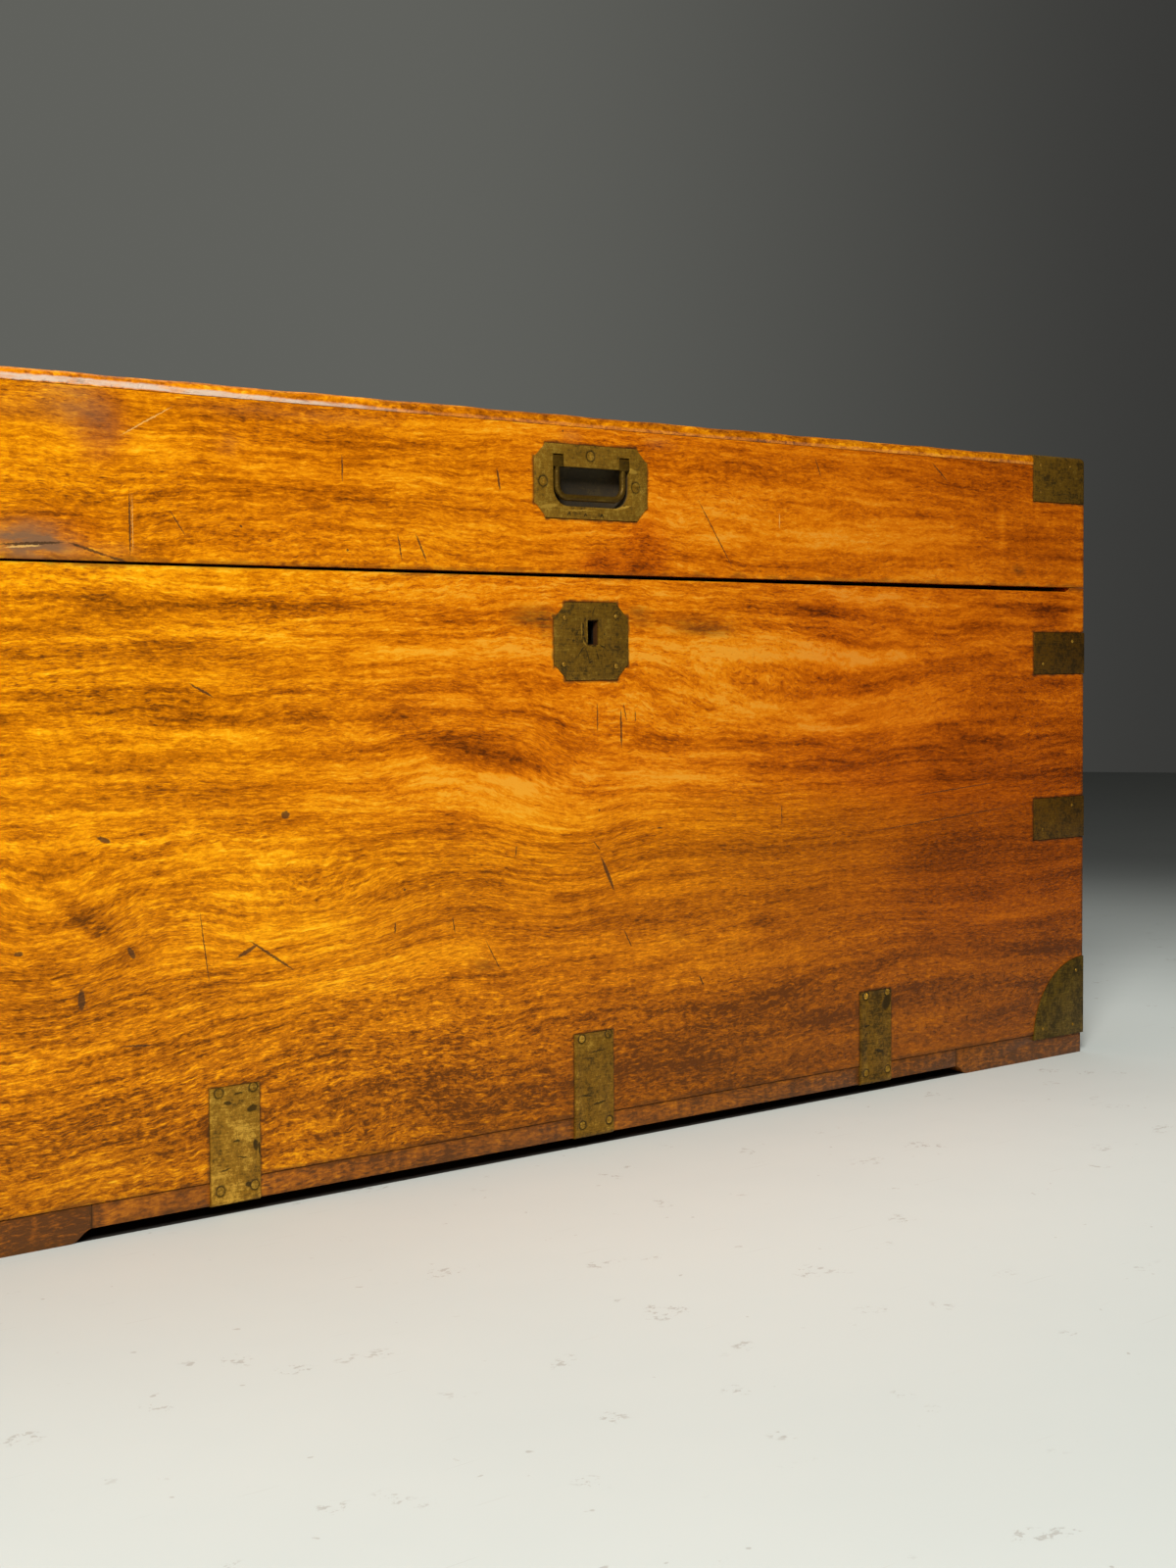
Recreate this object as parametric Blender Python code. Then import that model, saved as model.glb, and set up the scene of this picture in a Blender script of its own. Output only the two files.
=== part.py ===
"""Brass-bound camphor-wood campaign trunk with a hinged lid, on four low bracket feet.

Metres, +Z up. +X is to the right, the front faces -Y, and the origin is on the floor under the middle.
"""
import math
from typing import NamedTuple

import bmesh
import bpy

# Woodwork
LENGTH = 1.040
DEPTH = 0.510
HEIGHT = 0.483
LID_HEIGHT = 0.1033
BOARD = 0.018
BOTTOM_BOARD = 0.012
LID_LIP = 0.0075
LID_TONGUE = 0.0085
ARRIS = 0.0015
LID_ARRIS = 0.0032

# Gaps: between pieces that touch, and at the seam under the lid. The front rim is planed hollow.
FIT = 0.0003
SEAM = 0.0005
RIM_HOLLOW_LEFT = 0.0008
RIM_HOLLOW_RIGHT = 0.0034
RIM_HOLLOW_RUN = 0.0015

# Lapped dovetails
LAP = 0.005
CASE_TAILS = 6
LID_TAILS = 2
PIN_WIDTH = 0.014
TAIL_SLOPE = 0.16

# Base frame
FOOT_HEIGHT = 0.0208
FOOT_LENGTH = 0.156
FOOT_RETURN = 0.120
FOOT_CHAMFER = 0.0025
SKIRT_HEIGHT = 0.014
BASE_WIDTH = 0.045
BASE_SET_BACK = 0.0008
OGEE_LENGTH = 0.013

# Brass plates, let into the wood and a little proud of it
BRASS = 0.002
PROUD = 0.0008
BRASS_ARRIS = 0.0022
STRIP_WIDTH = 0.033
BRACKET_LEAF = 0.0636
UPPER_BRACKET_DROP = 0.0531
LOWER_BRACKET_RISE = 0.1732
BASE_CORNER_RADIUS = 0.063
BASE_CORNER_OVERLAP = 0.0046
STRAP_SPACING = 0.2725
STRAP_RISE = 0.0549
STRAP_TURN_IN = 0.036
LID_CORNER_LEAF = 0.0645
LID_CORNER_DROP = 0.036

# Escutcheon
ESCUTCHEON_WIDTH = 0.063
ESCUTCHEON_HEIGHT = 0.051
ESCUTCHEON_X = 0.0012
ESCUTCHEON_DROP = 0.0442
ESCUTCHEON_BITE = 0.010
KEYHOLE_WIDTH = 0.0094
KEYHOLE_HEIGHT = 0.0165
KEYHOLE_X = 0.0025
KEYHOLE_DROP = 0.0384
KEYHOLE_LINING = 0.0005

# Box lock and link plate
LOCK_WIDTH = 0.078
LOCK_HEIGHT = 0.054
LOCK_DEPTH = 0.013
LOCK_WALL = 0.0015
SELVEDGE_WIDTH = 0.092
SELVEDGE = 0.002
LOOP_SPACING = 0.032
LOOP_THICKNESS = 0.0025
LOOP_WIDTH = 0.008
LOOP_DROP = 0.015
LOOP_HOLE_WIDTH = 0.0038
LOOP_HOLE_HEIGHT = 0.0054
LOOP_FOOT = 0.003
LOOP_CLEARANCE = 0.0006
LINK_PLATE_LENGTH = 0.062
BOLT_TRAVEL = 0.009
FINGER = 0.003
FINGER_HEIGHT = 0.004
FINGER_SPARE = 0.003
FINGER_POST = 0.004
BOLT_PLATE_HEIGHT = 0.0115
TALON_WIDTH = 0.008
TALON_HEIGHT = 0.004

# Butt hinges. The rear arrises of rim and lid are bevelled, and the lid stops where they meet.
HINGE_FROM_END = 0.190
HINGE_LENGTH = 0.076
HINGE_KNUCKLES = 5
HINGE_LEAF = 0.0018
HINGE_LEAF_MARGIN = 0.0015
HINGE_BARREL = 0.0032
HINGE_PIN = 0.0015
PIN_SET_IN = 0.006
STOP_BEVEL = math.radians(51.0)

# Smoothness of round shapes
ARC_STEPS = 10
ARRIS_STEPS = 3
ROUND_SIDES = 16
BAR_SIDES = 12


class Handle(NamedTuple):
    """Sizes of a flush handle: plate, pan and drop bail. Local axes are across, up and out of the face."""
    name: str
    face: str
    across: float
    up: float
    plate_width: float
    plate_height: float
    bite: float
    opening_width: float
    opening_height: float
    opening_lift: float
    opening_corner: float
    tab_width: float
    tab_height: float
    tab_thickness: float
    bar: float
    bail_drop: float
    bail_corner: float
    pan_depth: float
    pan_wall: float
    pin: float


CASE_BOTTOM = FOOT_HEIGHT
SPLIT = HEIGHT - LID_HEIGHT
RIM = SPLIT - SEAM
LID_TOP_JOINT = HEIGHT - LID_LIP
HALF_X = LENGTH / 2
HALF_Y = DEPTH / 2
AXIS_Y = HALF_Y - PIN_SET_IN
AXIS_Z = SPLIT - SEAM / 2
HINGE_X = HALF_X - HINGE_FROM_END
HINGE_LEAF_DEPTH = BOARD - PIN_SET_IN - HINGE_LEAF_MARGIN
FINGER_LENGTH = BOLT_TRAVEL + FINGER_SPARE

LID_HANDLE_RISE = 0.0599
LID_HANDLE = Handle(
    name="lid", face="front", across=0.0026, up=SPLIT + LID_HANDLE_RISE,
    plate_width=0.0958, plate_height=0.048, bite=0.009,
    opening_width=0.0653, opening_height=0.0258, opening_lift=0.0078, opening_corner=0.0122,
    tab_width=0.0086, tab_height=0.0076, tab_thickness=0.0048,
    bar=0.0044, bail_drop=0.0252, bail_corner=0.0085,
    pan_depth=0.0115, pan_wall=0.0018, pin=0.0012)
END_HANDLE_UP = 0.262
LEFT_HANDLE = Handle(
    name="left", face="left", across=0.0, up=END_HANDLE_UP,
    plate_width=0.124, plate_height=0.066, bite=0.012,
    opening_width=0.092, opening_height=0.0375, opening_lift=0.0105, opening_corner=0.017,
    tab_width=0.0115, tab_height=0.0100, tab_thickness=0.0066,
    bar=0.0062, bail_drop=0.0365, bail_corner=0.008,
    pan_depth=0.0120, pan_wall=0.0018, pin=0.0016)
RIGHT_HANDLE = LEFT_HANDLE._replace(name="right", face="right")
PIN_HOLD = 0.7

# Colour, roughness and metallic value of each finish
FINISHES = {
    "camphor_case": ((0.58, 0.27, 0.07, 1.0), 0.34, 0.0),
    "camphor_lid": ((0.56, 0.25, 0.06, 1.0), 0.34, 0.0),
    "camphor_base": ((0.27, 0.11, 0.05, 1.0), 0.42, 0.0),
    "aged_brass": ((0.33, 0.25, 0.09, 1.0), 0.46, 1.0),
    "dark_brass": ((0.14, 0.12, 0.07, 1.0), 0.50, 1.0),
    "lock_iron": ((0.17, 0.15, 0.13, 1.0), 0.55, 1.0),
}


def clear_scene():
    for old in list(bpy.data.objects):
        bpy.data.objects.remove(old, do_unlink=True)


def finish(kind):
    material = bpy.data.materials.get(kind)
    if material is None:
        colour, roughness, metallic = FINISHES[kind]
        material = bpy.data.materials.new(kind)
        material.use_nodes = True
        shader = material.node_tree.nodes["Principled BSDF"]
        shader.inputs["Base Color"].default_value = colour
        shader.inputs["Roughness"].default_value = roughness
        shader.inputs["Metallic"].default_value = metallic
        material.diffuse_color = colour
    return material


def add_object(name, shape, origin=(0.0, 0.0, 0.0)):
    """Turn a bmesh into an object whose origin is at the given point."""
    bmesh.ops.recalc_face_normals(shape, faces=shape.faces[:])
    bmesh.ops.translate(shape, verts=shape.verts[:], vec=[-value for value in origin])
    mesh = bpy.data.meshes.new(name)
    shape.to_mesh(mesh)
    shape.free()
    made = bpy.data.objects.new(name, mesh)
    made.location = origin
    bpy.context.scene.collection.objects.link(made)
    return made


def add_piece(name, kind, shape, origin=(0.0, 0.0, 0.0)):
    made = add_object(name, shape, origin)
    made.data.materials.append(finish(kind))
    return made


def add_tool(name, shape):
    """A hidden object that only cuts or joins others."""
    tool = add_object(name, shape)
    tool.hide_render = True
    tool.display_type = "WIRE"
    return tool


def use_tool(piece, tool, operation, label):
    change = piece.modifiers.new(label, "BOOLEAN")
    change.operation = operation
    change.solver = "EXACT"
    change.object = tool


def cut(piece, shape, label):
    use_tool(piece, add_tool(f"{piece.name}_{label}", shape), "DIFFERENCE", label)


def fuse(piece, shape, label):
    use_tool(piece, add_tool(f"{piece.name}_{label}", shape), "UNION", label)


def keep_inside(piece, shape, label):
    use_tool(piece, add_tool(f"{piece.name}_{label}", shape), "INTERSECT", label)


def smooth_rounds(piece, angle=math.radians(30)):
    piece.data.shade_smooth()
    piece.data.set_sharp_from_angle(angle=angle)


def prism(outline, along, low, high):
    """A closed outline of the two other axes, in their order, pushed along x, y or z."""
    place = {
        "x": lambda p, q, r: (r, p, q),
        "y": lambda p, q, r: (p, r, q),
        "z": lambda p, q, r: (p, q, r),
    }[along]
    shape = bmesh.new()
    near = [shape.verts.new(place(p, q, low)) for p, q in outline]
    far = [shape.verts.new(place(p, q, high)) for p, q in outline]
    shape.faces.new(near)
    shape.faces.new(far)
    for i in range(len(outline)):
        j = (i + 1) % len(outline)
        shape.faces.new((near[i], near[j], far[j], far[i]))
    bmesh.ops.recalc_face_normals(shape, faces=shape.faces[:])
    return shape


def block(x0, x1, y0, y1, z0, z1):
    return prism([(x0, y0), (x1, y0), (x1, y1), (x0, y1)], "z", z0, z1)


def together(shapes):
    """Several closed shapes that don't touch, in one mesh."""
    whole = bmesh.new()
    for shape in shapes:
        mesh = bpy.data.meshes.new("part")
        shape.to_mesh(mesh)
        shape.free()
        whole.from_mesh(mesh)
        bpy.data.meshes.remove(mesh)
    return whole


def arc(centre, radius, start, end, steps=ARC_STEPS):
    """Points on an arc, angles in degrees, both ends included."""
    turns = [math.radians(start + (end - start) * i / steps) for i in range(steps + 1)]
    return [(centre[0] + radius * math.cos(turn), centre[1] + radius * math.sin(turn)) for turn in turns]


def round_edges(shape, wanted, radius, steps=ARRIS_STEPS):
    """Round the edges whose two ends pass the test."""
    edges = [edge for edge in shape.edges if wanted(edge.verts[0].co, edge.verts[1].co)]
    bmesh.ops.bevel(shape, geom=edges, offset=radius, offset_type="OFFSET", segments=steps,
                    profile=0.5, affect="EDGES", clamp_overlap=True)


def near_to(value, target):
    return abs(value - target) < 1e-5


def on_corner(shape, side_x, side_y):
    """Move a shape from corner axes (in from the end, in from the face, up) to its corner of the trunk."""
    for vert in shape.verts:
        vert.co.x = side_x * (HALF_X - vert.co.x)
        vert.co.y = side_y * (HALF_Y - vert.co.y)
    bmesh.ops.recalc_face_normals(shape, faces=shape.faces[:])
    return shape


def on_face(shape, handle):
    """Move a shape from handle axes (across, out, up) to the handle's face of the trunk."""
    for vert in shape.verts:
        across = vert.co.x + handle.across
        out = vert.co.y
        up = vert.co.z + handle.up
        vert.co = face_point(handle.face, across, out, up)
    bmesh.ops.recalc_face_normals(shape, faces=shape.faces[:])
    return shape


def face_point(face, across, out, up):
    places = {
        "front": (across, -HALF_Y - out, up),
        "right": (HALF_X + out, across, up),
        "left": (-HALF_X - out, -across, up),
    }
    return places[face]


CORNERS = {
    "front_left": (-1, -1),
    "front_right": (1, -1),
    "back_left": (-1, 1),
    "back_right": (1, 1),
}


def tail_places(low, high, count):
    """Middle height and root half-width of each tail between two levels, with half pins at both ends."""
    tail = (high - low - PIN_WIDTH * (count + 1)) / count
    return [(low + PIN_WIDTH + tail / 2 + i * (tail + PIN_WIDTH), tail / 2) for i in range(count)]


def end_board(name, kind, side_x, low, high, tails):
    """Board with tails at its front and back ends, as wide as the trunk is deep less the laps."""
    root = HALF_Y - BOARD - FIT
    tip = HALF_Y - LAP
    flare = (tip - root) * TAIL_SLOPE
    front = []
    for middle, half in tail_places(low, high, tails):
        front += [(-root, middle - half), (-tip, middle - half - flare),
                  (-tip, middle + half + flare), (-root, middle + half)]
    back = [(-y, z) for y, z in reversed(front)]
    outline = [(-root, low)] + front + [(-root, high), (root, high)] + back + [(root, low)]
    inner = side_x * (HALF_X - BOARD)
    outer = side_x * HALF_X
    return add_piece(name, kind, prism(outline, "x", min(inner, outer), max(inner, outer)))


def cut_sockets(board, side_y, low, high, tails):
    """Lapped sockets at both ends of a front or back board, open to the inside and the end."""
    tip = HALF_Y - LAP + FIT
    mouth = HALF_Y - BOARD - FIT
    flare = (tip - mouth) * TAIL_SLOPE
    for label, side_x in (("left_sockets", -1), ("right_sockets", 1)):
        near = side_x * (HALF_X - BOARD - FIT)
        far = side_x * (HALF_X + BOARD)
        sockets = []
        for middle, half in tail_places(low, high, tails):
            outline = [(side_y * mouth, middle - half - FIT), (side_y * tip, middle - half - flare - FIT),
                       (side_y * tip, middle + half + flare + FIT), (side_y * mouth, middle + half + FIT)]
            sockets.append(prism(outline, "x", min(near, far), max(near, far)))
        cut(board, together(sockets), label)


def long_board(name, kind, side_y, outline):
    """Front or back board or rail, with its two upright outer arrises rounded."""
    inner = side_y * (HALF_Y - BOARD)
    outer = side_y * HALF_Y
    shape = prism(outline, "y", min(inner, outer), max(inner, outer))

    def outer_arris(one, other):
        return near_to(one.y, outer) and near_to(other.y, outer) and near_to(abs(one.x), HALF_X) \
            and near_to(one.x, other.x)

    round_edges(shape, outer_arris, ARRIS)
    return add_piece(name, kind, shape)


def rectangle(low, high):
    return [(-HALF_X, low), (HALF_X, low), (HALF_X, high), (-HALF_X, high)]


def hollow_rim():
    """Outline of the front board: its rim dips between the corners, more at the right than the left."""
    corner = HALF_X - BOARD
    return [(-HALF_X, CASE_BOTTOM), (HALF_X, CASE_BOTTOM), (HALF_X, RIM), (corner, RIM),
            (corner - RIM_HOLLOW_RUN, RIM - RIM_HOLLOW_RIGHT),
            (-corner + RIM_HOLLOW_RUN, RIM - RIM_HOLLOW_LEFT), (-corner, RIM), (-HALF_X, RIM)]


def rim_level(x):
    """Height of the hollow front rim at a place along it."""
    reach = HALF_X - BOARD - RIM_HOLLOW_RUN
    share = (x + reach) / (2 * reach)
    return RIM - RIM_HOLLOW_LEFT - share * (RIM_HOLLOW_RIGHT - RIM_HOLLOW_LEFT)


def bevel_cutter(direction):
    """Wedge behind the hinge axis, below it for the rim (-1) or above it for the lid (1)."""
    start = AXIS_Z + direction * SEAM / 2
    reach = PIN_SET_IN + BOARD
    rise = reach * math.tan(STOP_BEVEL)
    outline = [(AXIS_Y, start), (AXIS_Y + reach, start + direction * rise),
               (AXIS_Y + reach, start - direction * BOARD), (AXIS_Y, start - direction * BOARD)]
    return prism(outline, "x", -HALF_X - BOARD, HALF_X + BOARD)


def make_carcase():
    front = long_board("front_board", "camphor_case", -1, hollow_rim())
    back = long_board("back_board", "camphor_case", 1, rectangle(CASE_BOTTOM, RIM))
    ends = {side: end_board(f"{side}_end_board", "camphor_case", sign, CASE_BOTTOM, RIM, CASE_TAILS)
            for side, sign in (("left", -1), ("right", 1))}
    cut_sockets(front, -1, CASE_BOTTOM, RIM, CASE_TAILS)
    cut_sockets(back, 1, CASE_BOTTOM, RIM, CASE_TAILS)
    for board in (back, ends["left"], ends["right"]):
        cut(board, bevel_cutter(-1), "stop_bevel")
    inner_x = HALF_X - BOARD - FIT
    inner_y = HALF_Y - BOARD - FIT
    add_piece("bottom_board", "camphor_case",
              block(-inner_x, inner_x, -inner_y, inner_y, CASE_BOTTOM, CASE_BOTTOM + BOTTOM_BOARD))
    return {"front": front, "back": back, "left": ends["left"], "right": ends["right"]}


def make_lid_frame():
    top = LID_TOP_JOINT - FIT
    front = long_board("lid_front_rail", "camphor_lid", -1, rectangle(SPLIT, top))
    back = long_board("lid_back_rail", "camphor_lid", 1, rectangle(SPLIT, top))
    ends = {side: end_board(f"lid_{side}_rail", "camphor_lid", sign, SPLIT, top, LID_TAILS)
            for side, sign in (("left", -1), ("right", 1))}
    cut_sockets(front, -1, SPLIT, top, LID_TAILS)
    cut_sockets(back, 1, SPLIT, top, LID_TAILS)
    for rail in (back, ends["left"], ends["right"]):
        cut(rail, bevel_cutter(1), "stop_bevel")
    return {"front": front, "back": back, "left": ends["left"], "right": ends["right"]}


def make_lid_top():
    """Rebated top: a lip as large as the trunk over a tongue that lies inside the frame."""
    lip = block(-HALF_X, HALF_X, -HALF_Y, HALF_Y, LID_TOP_JOINT, HEIGHT)
    round_edges(lip, lambda one, other: near_to(one.z, HEIGHT) and near_to(other.z, HEIGHT), LID_ARRIS)
    top = add_piece("lid_top_board", "camphor_lid", lip)
    reach_x = HALF_X - BOARD - FIT
    reach_y = HALF_Y - BOARD - FIT
    middle = (LID_TOP_JOINT + HEIGHT) / 2
    fuse(top, block(-reach_x, reach_x, -reach_y, reach_y, LID_TOP_JOINT - LID_TONGUE, middle), "tongue")
    return top


def ogee(start, steps=8):
    """Foot end in profile, from its joint with the skirt down to the floor, as (distance, height)."""
    drop = FOOT_HEIGHT - SKIRT_HEIGHT
    curve = []
    for i in range(steps + 1):
        share = i / steps
        curve.append((start - OGEE_LENGTH * share, drop * (1 + math.cos(math.pi * share)) / 2))
    return curve


def make_foot(name, side_x, side_y):
    """L-shaped foot in corner axes; both arms end in an ogee under the skirt."""
    top = FOOT_HEIGHT - FIT
    inset = BASE_SET_BACK
    plan = [(inset, inset), (FOOT_LENGTH, inset), (FOOT_LENGTH, BASE_WIDTH), (BASE_WIDTH, BASE_WIDTH),
            (BASE_WIDTH, FOOT_RETURN), (inset, FOOT_RETURN)]
    shape = prism(plan, "z", 0.0, top)

    def outer_arris(one, other):
        return all(near_to(value, inset) for value in (one.x, one.y, other.x, other.y))

    round_edges(shape, outer_arris, FOOT_CHAMFER)
    foot = add_piece(name, "camphor_base", on_corner(shape, side_x, side_y))
    for label, length, along in (("long_ogee", FOOT_LENGTH, "y"), ("short_ogee", FOOT_RETURN, "x")):
        clear = BASE_WIDTH
        drop = FOOT_HEIGHT - SKIRT_HEIGHT
        waste = ogee(length) + [(length - OGEE_LENGTH, -clear), (length + clear, -clear),
                                (length + clear, drop)]
        cut(foot, on_corner(prism(waste, along, -clear, BASE_WIDTH + FIT), side_x, side_y), label)
    return foot


def make_skirt(name, side):
    low = FOOT_HEIGHT - SKIRT_HEIGHT
    high = FOOT_HEIGHT - FIT
    if side in ("front", "back"):
        sign = -1 if side == "front" else 1
        reach = HALF_X - FOOT_LENGTH - FIT
        inner = sign * (HALF_Y - BASE_WIDTH)
        outer = sign * (HALF_Y - BASE_SET_BACK)
        shape = block(-reach, reach, min(inner, outer), max(inner, outer), low, high)
    else:
        sign = -1 if side == "left" else 1
        reach = HALF_Y - FOOT_RETURN - FIT
        inner = sign * (HALF_X - BASE_WIDTH)
        outer = sign * (HALF_X - BASE_SET_BACK)
        shape = block(min(inner, outer), max(inner, outer), -reach, reach, low, high)
    return add_piece(name, "camphor_base", shape)


def make_base():
    feet = {corner: make_foot(f"{corner}_foot", *CORNERS[corner]) for corner in CORNERS}
    skirts = {side: make_skirt(f"{side}_skirt", side) for side in ("front", "back", "left", "right")}
    return feet, skirts


def angle_outline(leaf_x, leaf_y, thickness, proud, radius):
    """Plan of a brass angle round an upright arris, in corner axes."""
    inner = thickness - proud
    bend = arc((radius - proud, radius - proud), radius, 180, 270, ARRIS_STEPS)
    return [(-proud, leaf_y)] + bend + [(leaf_x, -proud), (leaf_x, inner), (inner, inner), (inner, leaf_y)]


def bracket_shape(middle, recess=False):
    spare = FIT if recess else 0.0
    outside = BRASS if recess else 0.0
    plan = angle_outline(BRACKET_LEAF + spare, BRACKET_LEAF + spare, BRASS + outside + spare,
                         PROUD + outside, BRASS_ARRIS + outside)
    half = STRIP_WIDTH / 2 + spare
    return prism(plan, "z", middle - half, middle + half)


def make_brackets(carcase):
    heights = {"upper": SPLIT - UPPER_BRACKET_DROP, "lower": CASE_BOTTOM + LOWER_BRACKET_RISE}
    for corner, signs in CORNERS.items():
        side_y, side_x = corner.split("_")
        for level, middle in heights.items():
            name = f"{corner}_{level}_bracket"
            add_piece(name, "aged_brass", on_corner(bracket_shape(middle), *signs))
            for board in (carcase[side_y], carcase[side_x]):
                cut(board, on_corner(bracket_shape(middle, recess=True), *signs), f"{corner}_{level}_seat")


def base_corner_shapes(recess=False):
    """A brass angle and the two discs that make its leaves quarter-round."""
    spare = FIT if recess else 0.0
    outside = BRASS if recess else 0.0
    low = CASE_BOTTOM - BASE_CORNER_OVERLAP
    radius = BASE_CORNER_RADIUS + spare
    reach = radius + BOARD
    plan = angle_outline(reach, reach, BRASS + outside + spare, PROUD + outside, BRASS_ARRIS + outside)
    angle = prism(plan, "z", low - spare, low + reach)
    disc = [(-BOARD, low - BOARD), (radius, low - BOARD)] + arc((0.0, low), radius, 0, 90)
    disc.append((-BOARD, low + radius))
    front_disc = prism(disc, "y", -BOARD, reach + BOARD)
    end_disc = prism(disc, "x", -BOARD, reach + BOARD)
    return angle, front_disc, end_disc


def make_base_corners(carcase, feet):
    for corner, signs in CORNERS.items():
        side_y, side_x = corner.split("_")
        angle, front_disc, end_disc = (on_corner(shape, *signs) for shape in base_corner_shapes())
        piece = add_piece(f"{corner}_base_corner", "dark_brass", angle)
        keep_inside(piece, front_disc, "front_leaf")
        keep_inside(piece, end_disc, "end_leaf")
        angle, front_disc, end_disc = (on_corner(shape, *signs) for shape in base_corner_shapes(recess=True))
        seat = add_tool(f"{corner}_base_corner_seat", angle)
        keep_inside(seat, front_disc, "front_leaf")
        keep_inside(seat, end_disc, "end_leaf")
        for board in (carcase[side_y], carcase[side_x], feet[corner]):
            use_tool(board, seat, "DIFFERENCE", f"{corner}_corner_seat")


def lid_corner_shapes(recess=False):
    """A rounded block, the block that hollows it and the waste outside the top leaf's quarter-round."""
    spare = FIT if recess else 0.0
    proud = PROUD + (BRASS if recess else 0.0)
    inner = BRASS - PROUD + spare
    leaf = LID_CORNER_LEAF + spare
    low = HEIGHT - LID_CORNER_DROP - spare
    radius = LID_ARRIS + proud
    outer = block(-proud, leaf, -proud, leaf, low, HEIGHT + proud)
    hollow = block(inner, leaf + BOARD, inner, leaf + BOARD, low - BOARD, HEIGHT - inner)
    for shape, edge, high, curve in ((outer, -proud, HEIGHT + proud, radius),
                                     (hollow, inner, HEIGHT - inner, LID_ARRIS - inner)):
        round_edges(shape, lambda one, other: on_corner_edge(one, edge, high)
                    and on_corner_edge(other, edge, high), curve)
    waste = arc((0.0, 0.0), leaf, 0, 90) + [(leaf + BOARD, leaf + BOARD)]
    waste = [(max(x, inner), max(y, inner)) for x, y in waste]
    trim = prism(waste, "z", HEIGHT - inner - BRASS, HEIGHT + proud + BRASS)
    return outer, hollow, trim


def on_corner_edge(point, edge, high):
    """True on the vertices of the three edges that meet at a block's outer top corner."""
    return near_to(point.x, edge) + near_to(point.y, edge) + near_to(point.z, high) >= 2


def make_lid_corners(lid, top):
    for corner, signs in CORNERS.items():
        side_y, side_x = corner.split("_")
        outer, hollow, trim = (on_corner(shape, *signs) for shape in lid_corner_shapes())
        piece = add_piece(f"lid_{corner}_corner", "aged_brass", outer)
        cut(piece, hollow, "hollow")
        cut(piece, trim, "top_leaf")
        outer, hollow, trim = (on_corner(shape, *signs) for shape in lid_corner_shapes(recess=True))
        seat = add_tool(f"lid_{corner}_corner_seat", outer)
        cut(seat, hollow, "hollow")
        cut(seat, trim, "top_leaf")
        for board in (lid[side_y], lid[side_x], top):
            use_tool(board, seat, "DIFFERENCE", f"{corner}_corner_seat")


def strap_shape(x, recess=False):
    """Strip that runs down the front and turns in under the skirt, in corner axes of the middle."""
    spare = FIT if recess else 0.0
    outside = BRASS if recess else 0.0
    proud = PROUD + outside
    inner = BRASS - PROUD + spare
    radius = BRASS_ARRIS + outside
    low = FOOT_HEIGHT - SKIRT_HEIGHT
    top = CASE_BOTTOM + STRAP_RISE + spare
    turn = STRAP_TURN_IN + spare
    bend = arc((radius - proud, low - proud + radius), radius, 180, 270, ARRIS_STEPS)
    outline = [(-proud, top)] + bend + [(turn, low - proud), (turn, low + inner), (inner, low + inner), (inner, top)]
    half = STRIP_WIDTH / 2 + spare
    return prism(outline, "x", x - half, x + half)


def on_long_side(shape, side_y):
    for vert in shape.verts:
        vert.co.y = side_y * (HALF_Y - vert.co.y)
    bmesh.ops.recalc_face_normals(shape, faces=shape.faces[:])
    return shape


def make_straps(carcase, skirts):
    places = {"left": -STRAP_SPACING, "middle": 0.0, "right": STRAP_SPACING}
    for side, side_y in (("front", -1), ("back", 1)):
        for place, x in places.items():
            name = f"{side}_{place}_strap"
            add_piece(name, "aged_brass", on_long_side(strap_shape(x), side_y))
            for board in (carcase[side], skirts[side]):
                cut(board, on_long_side(strap_shape(x, recess=True), side_y), f"{place}_strap_seat")


def bitten_rectangle(width, height, bite, spare=0.0):
    """Plate outline whose corners are hollowed by quarter circles centred on them."""
    x = width / 2 + spare
    z = height / 2 + spare
    outline = []
    for centre, start in (((x, z), 270), ((-x, z), 360), ((-x, -z), 90), ((x, -z), 180)):
        outline += arc(centre, bite, start, start - 90, ARC_STEPS // 2)
    return outline


def moved(outline, across, up):
    return [(x + across, z + up) for x, z in outline]


def make_escutcheon(front):
    middle = SPLIT - ESCUTCHEON_DROP
    plate = moved(bitten_rectangle(ESCUTCHEON_WIDTH, ESCUTCHEON_HEIGHT, ESCUTCHEON_BITE), ESCUTCHEON_X, middle)
    face = -HALF_Y - PROUD
    piece = add_piece("escutcheon", "aged_brass", prism(plate, "y", face, face + BRASS))
    cut(piece, keyhole(0.0, face - BRASS, face + 2 * BRASS), "keyhole")
    seat = moved(bitten_rectangle(ESCUTCHEON_WIDTH, ESCUTCHEON_HEIGHT, ESCUTCHEON_BITE, FIT), ESCUTCHEON_X, middle)
    cut(front, prism(seat, "y", face - BRASS, face + BRASS + FIT), "escutcheon_seat")
    cut(front, keyhole(KEYHOLE_LINING, face, -HALF_Y + BOARD), "keyhole")


def keyhole(inset, near, far):
    half = KEYHOLE_WIDTH / 2 - inset
    low = SPLIT - KEYHOLE_DROP - KEYHOLE_HEIGHT / 2 + inset
    high = SPLIT - KEYHOLE_DROP + KEYHOLE_HEIGHT / 2 - inset
    return block(KEYHOLE_X - half, KEYHOLE_X + half, near, far, low, high)


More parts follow.
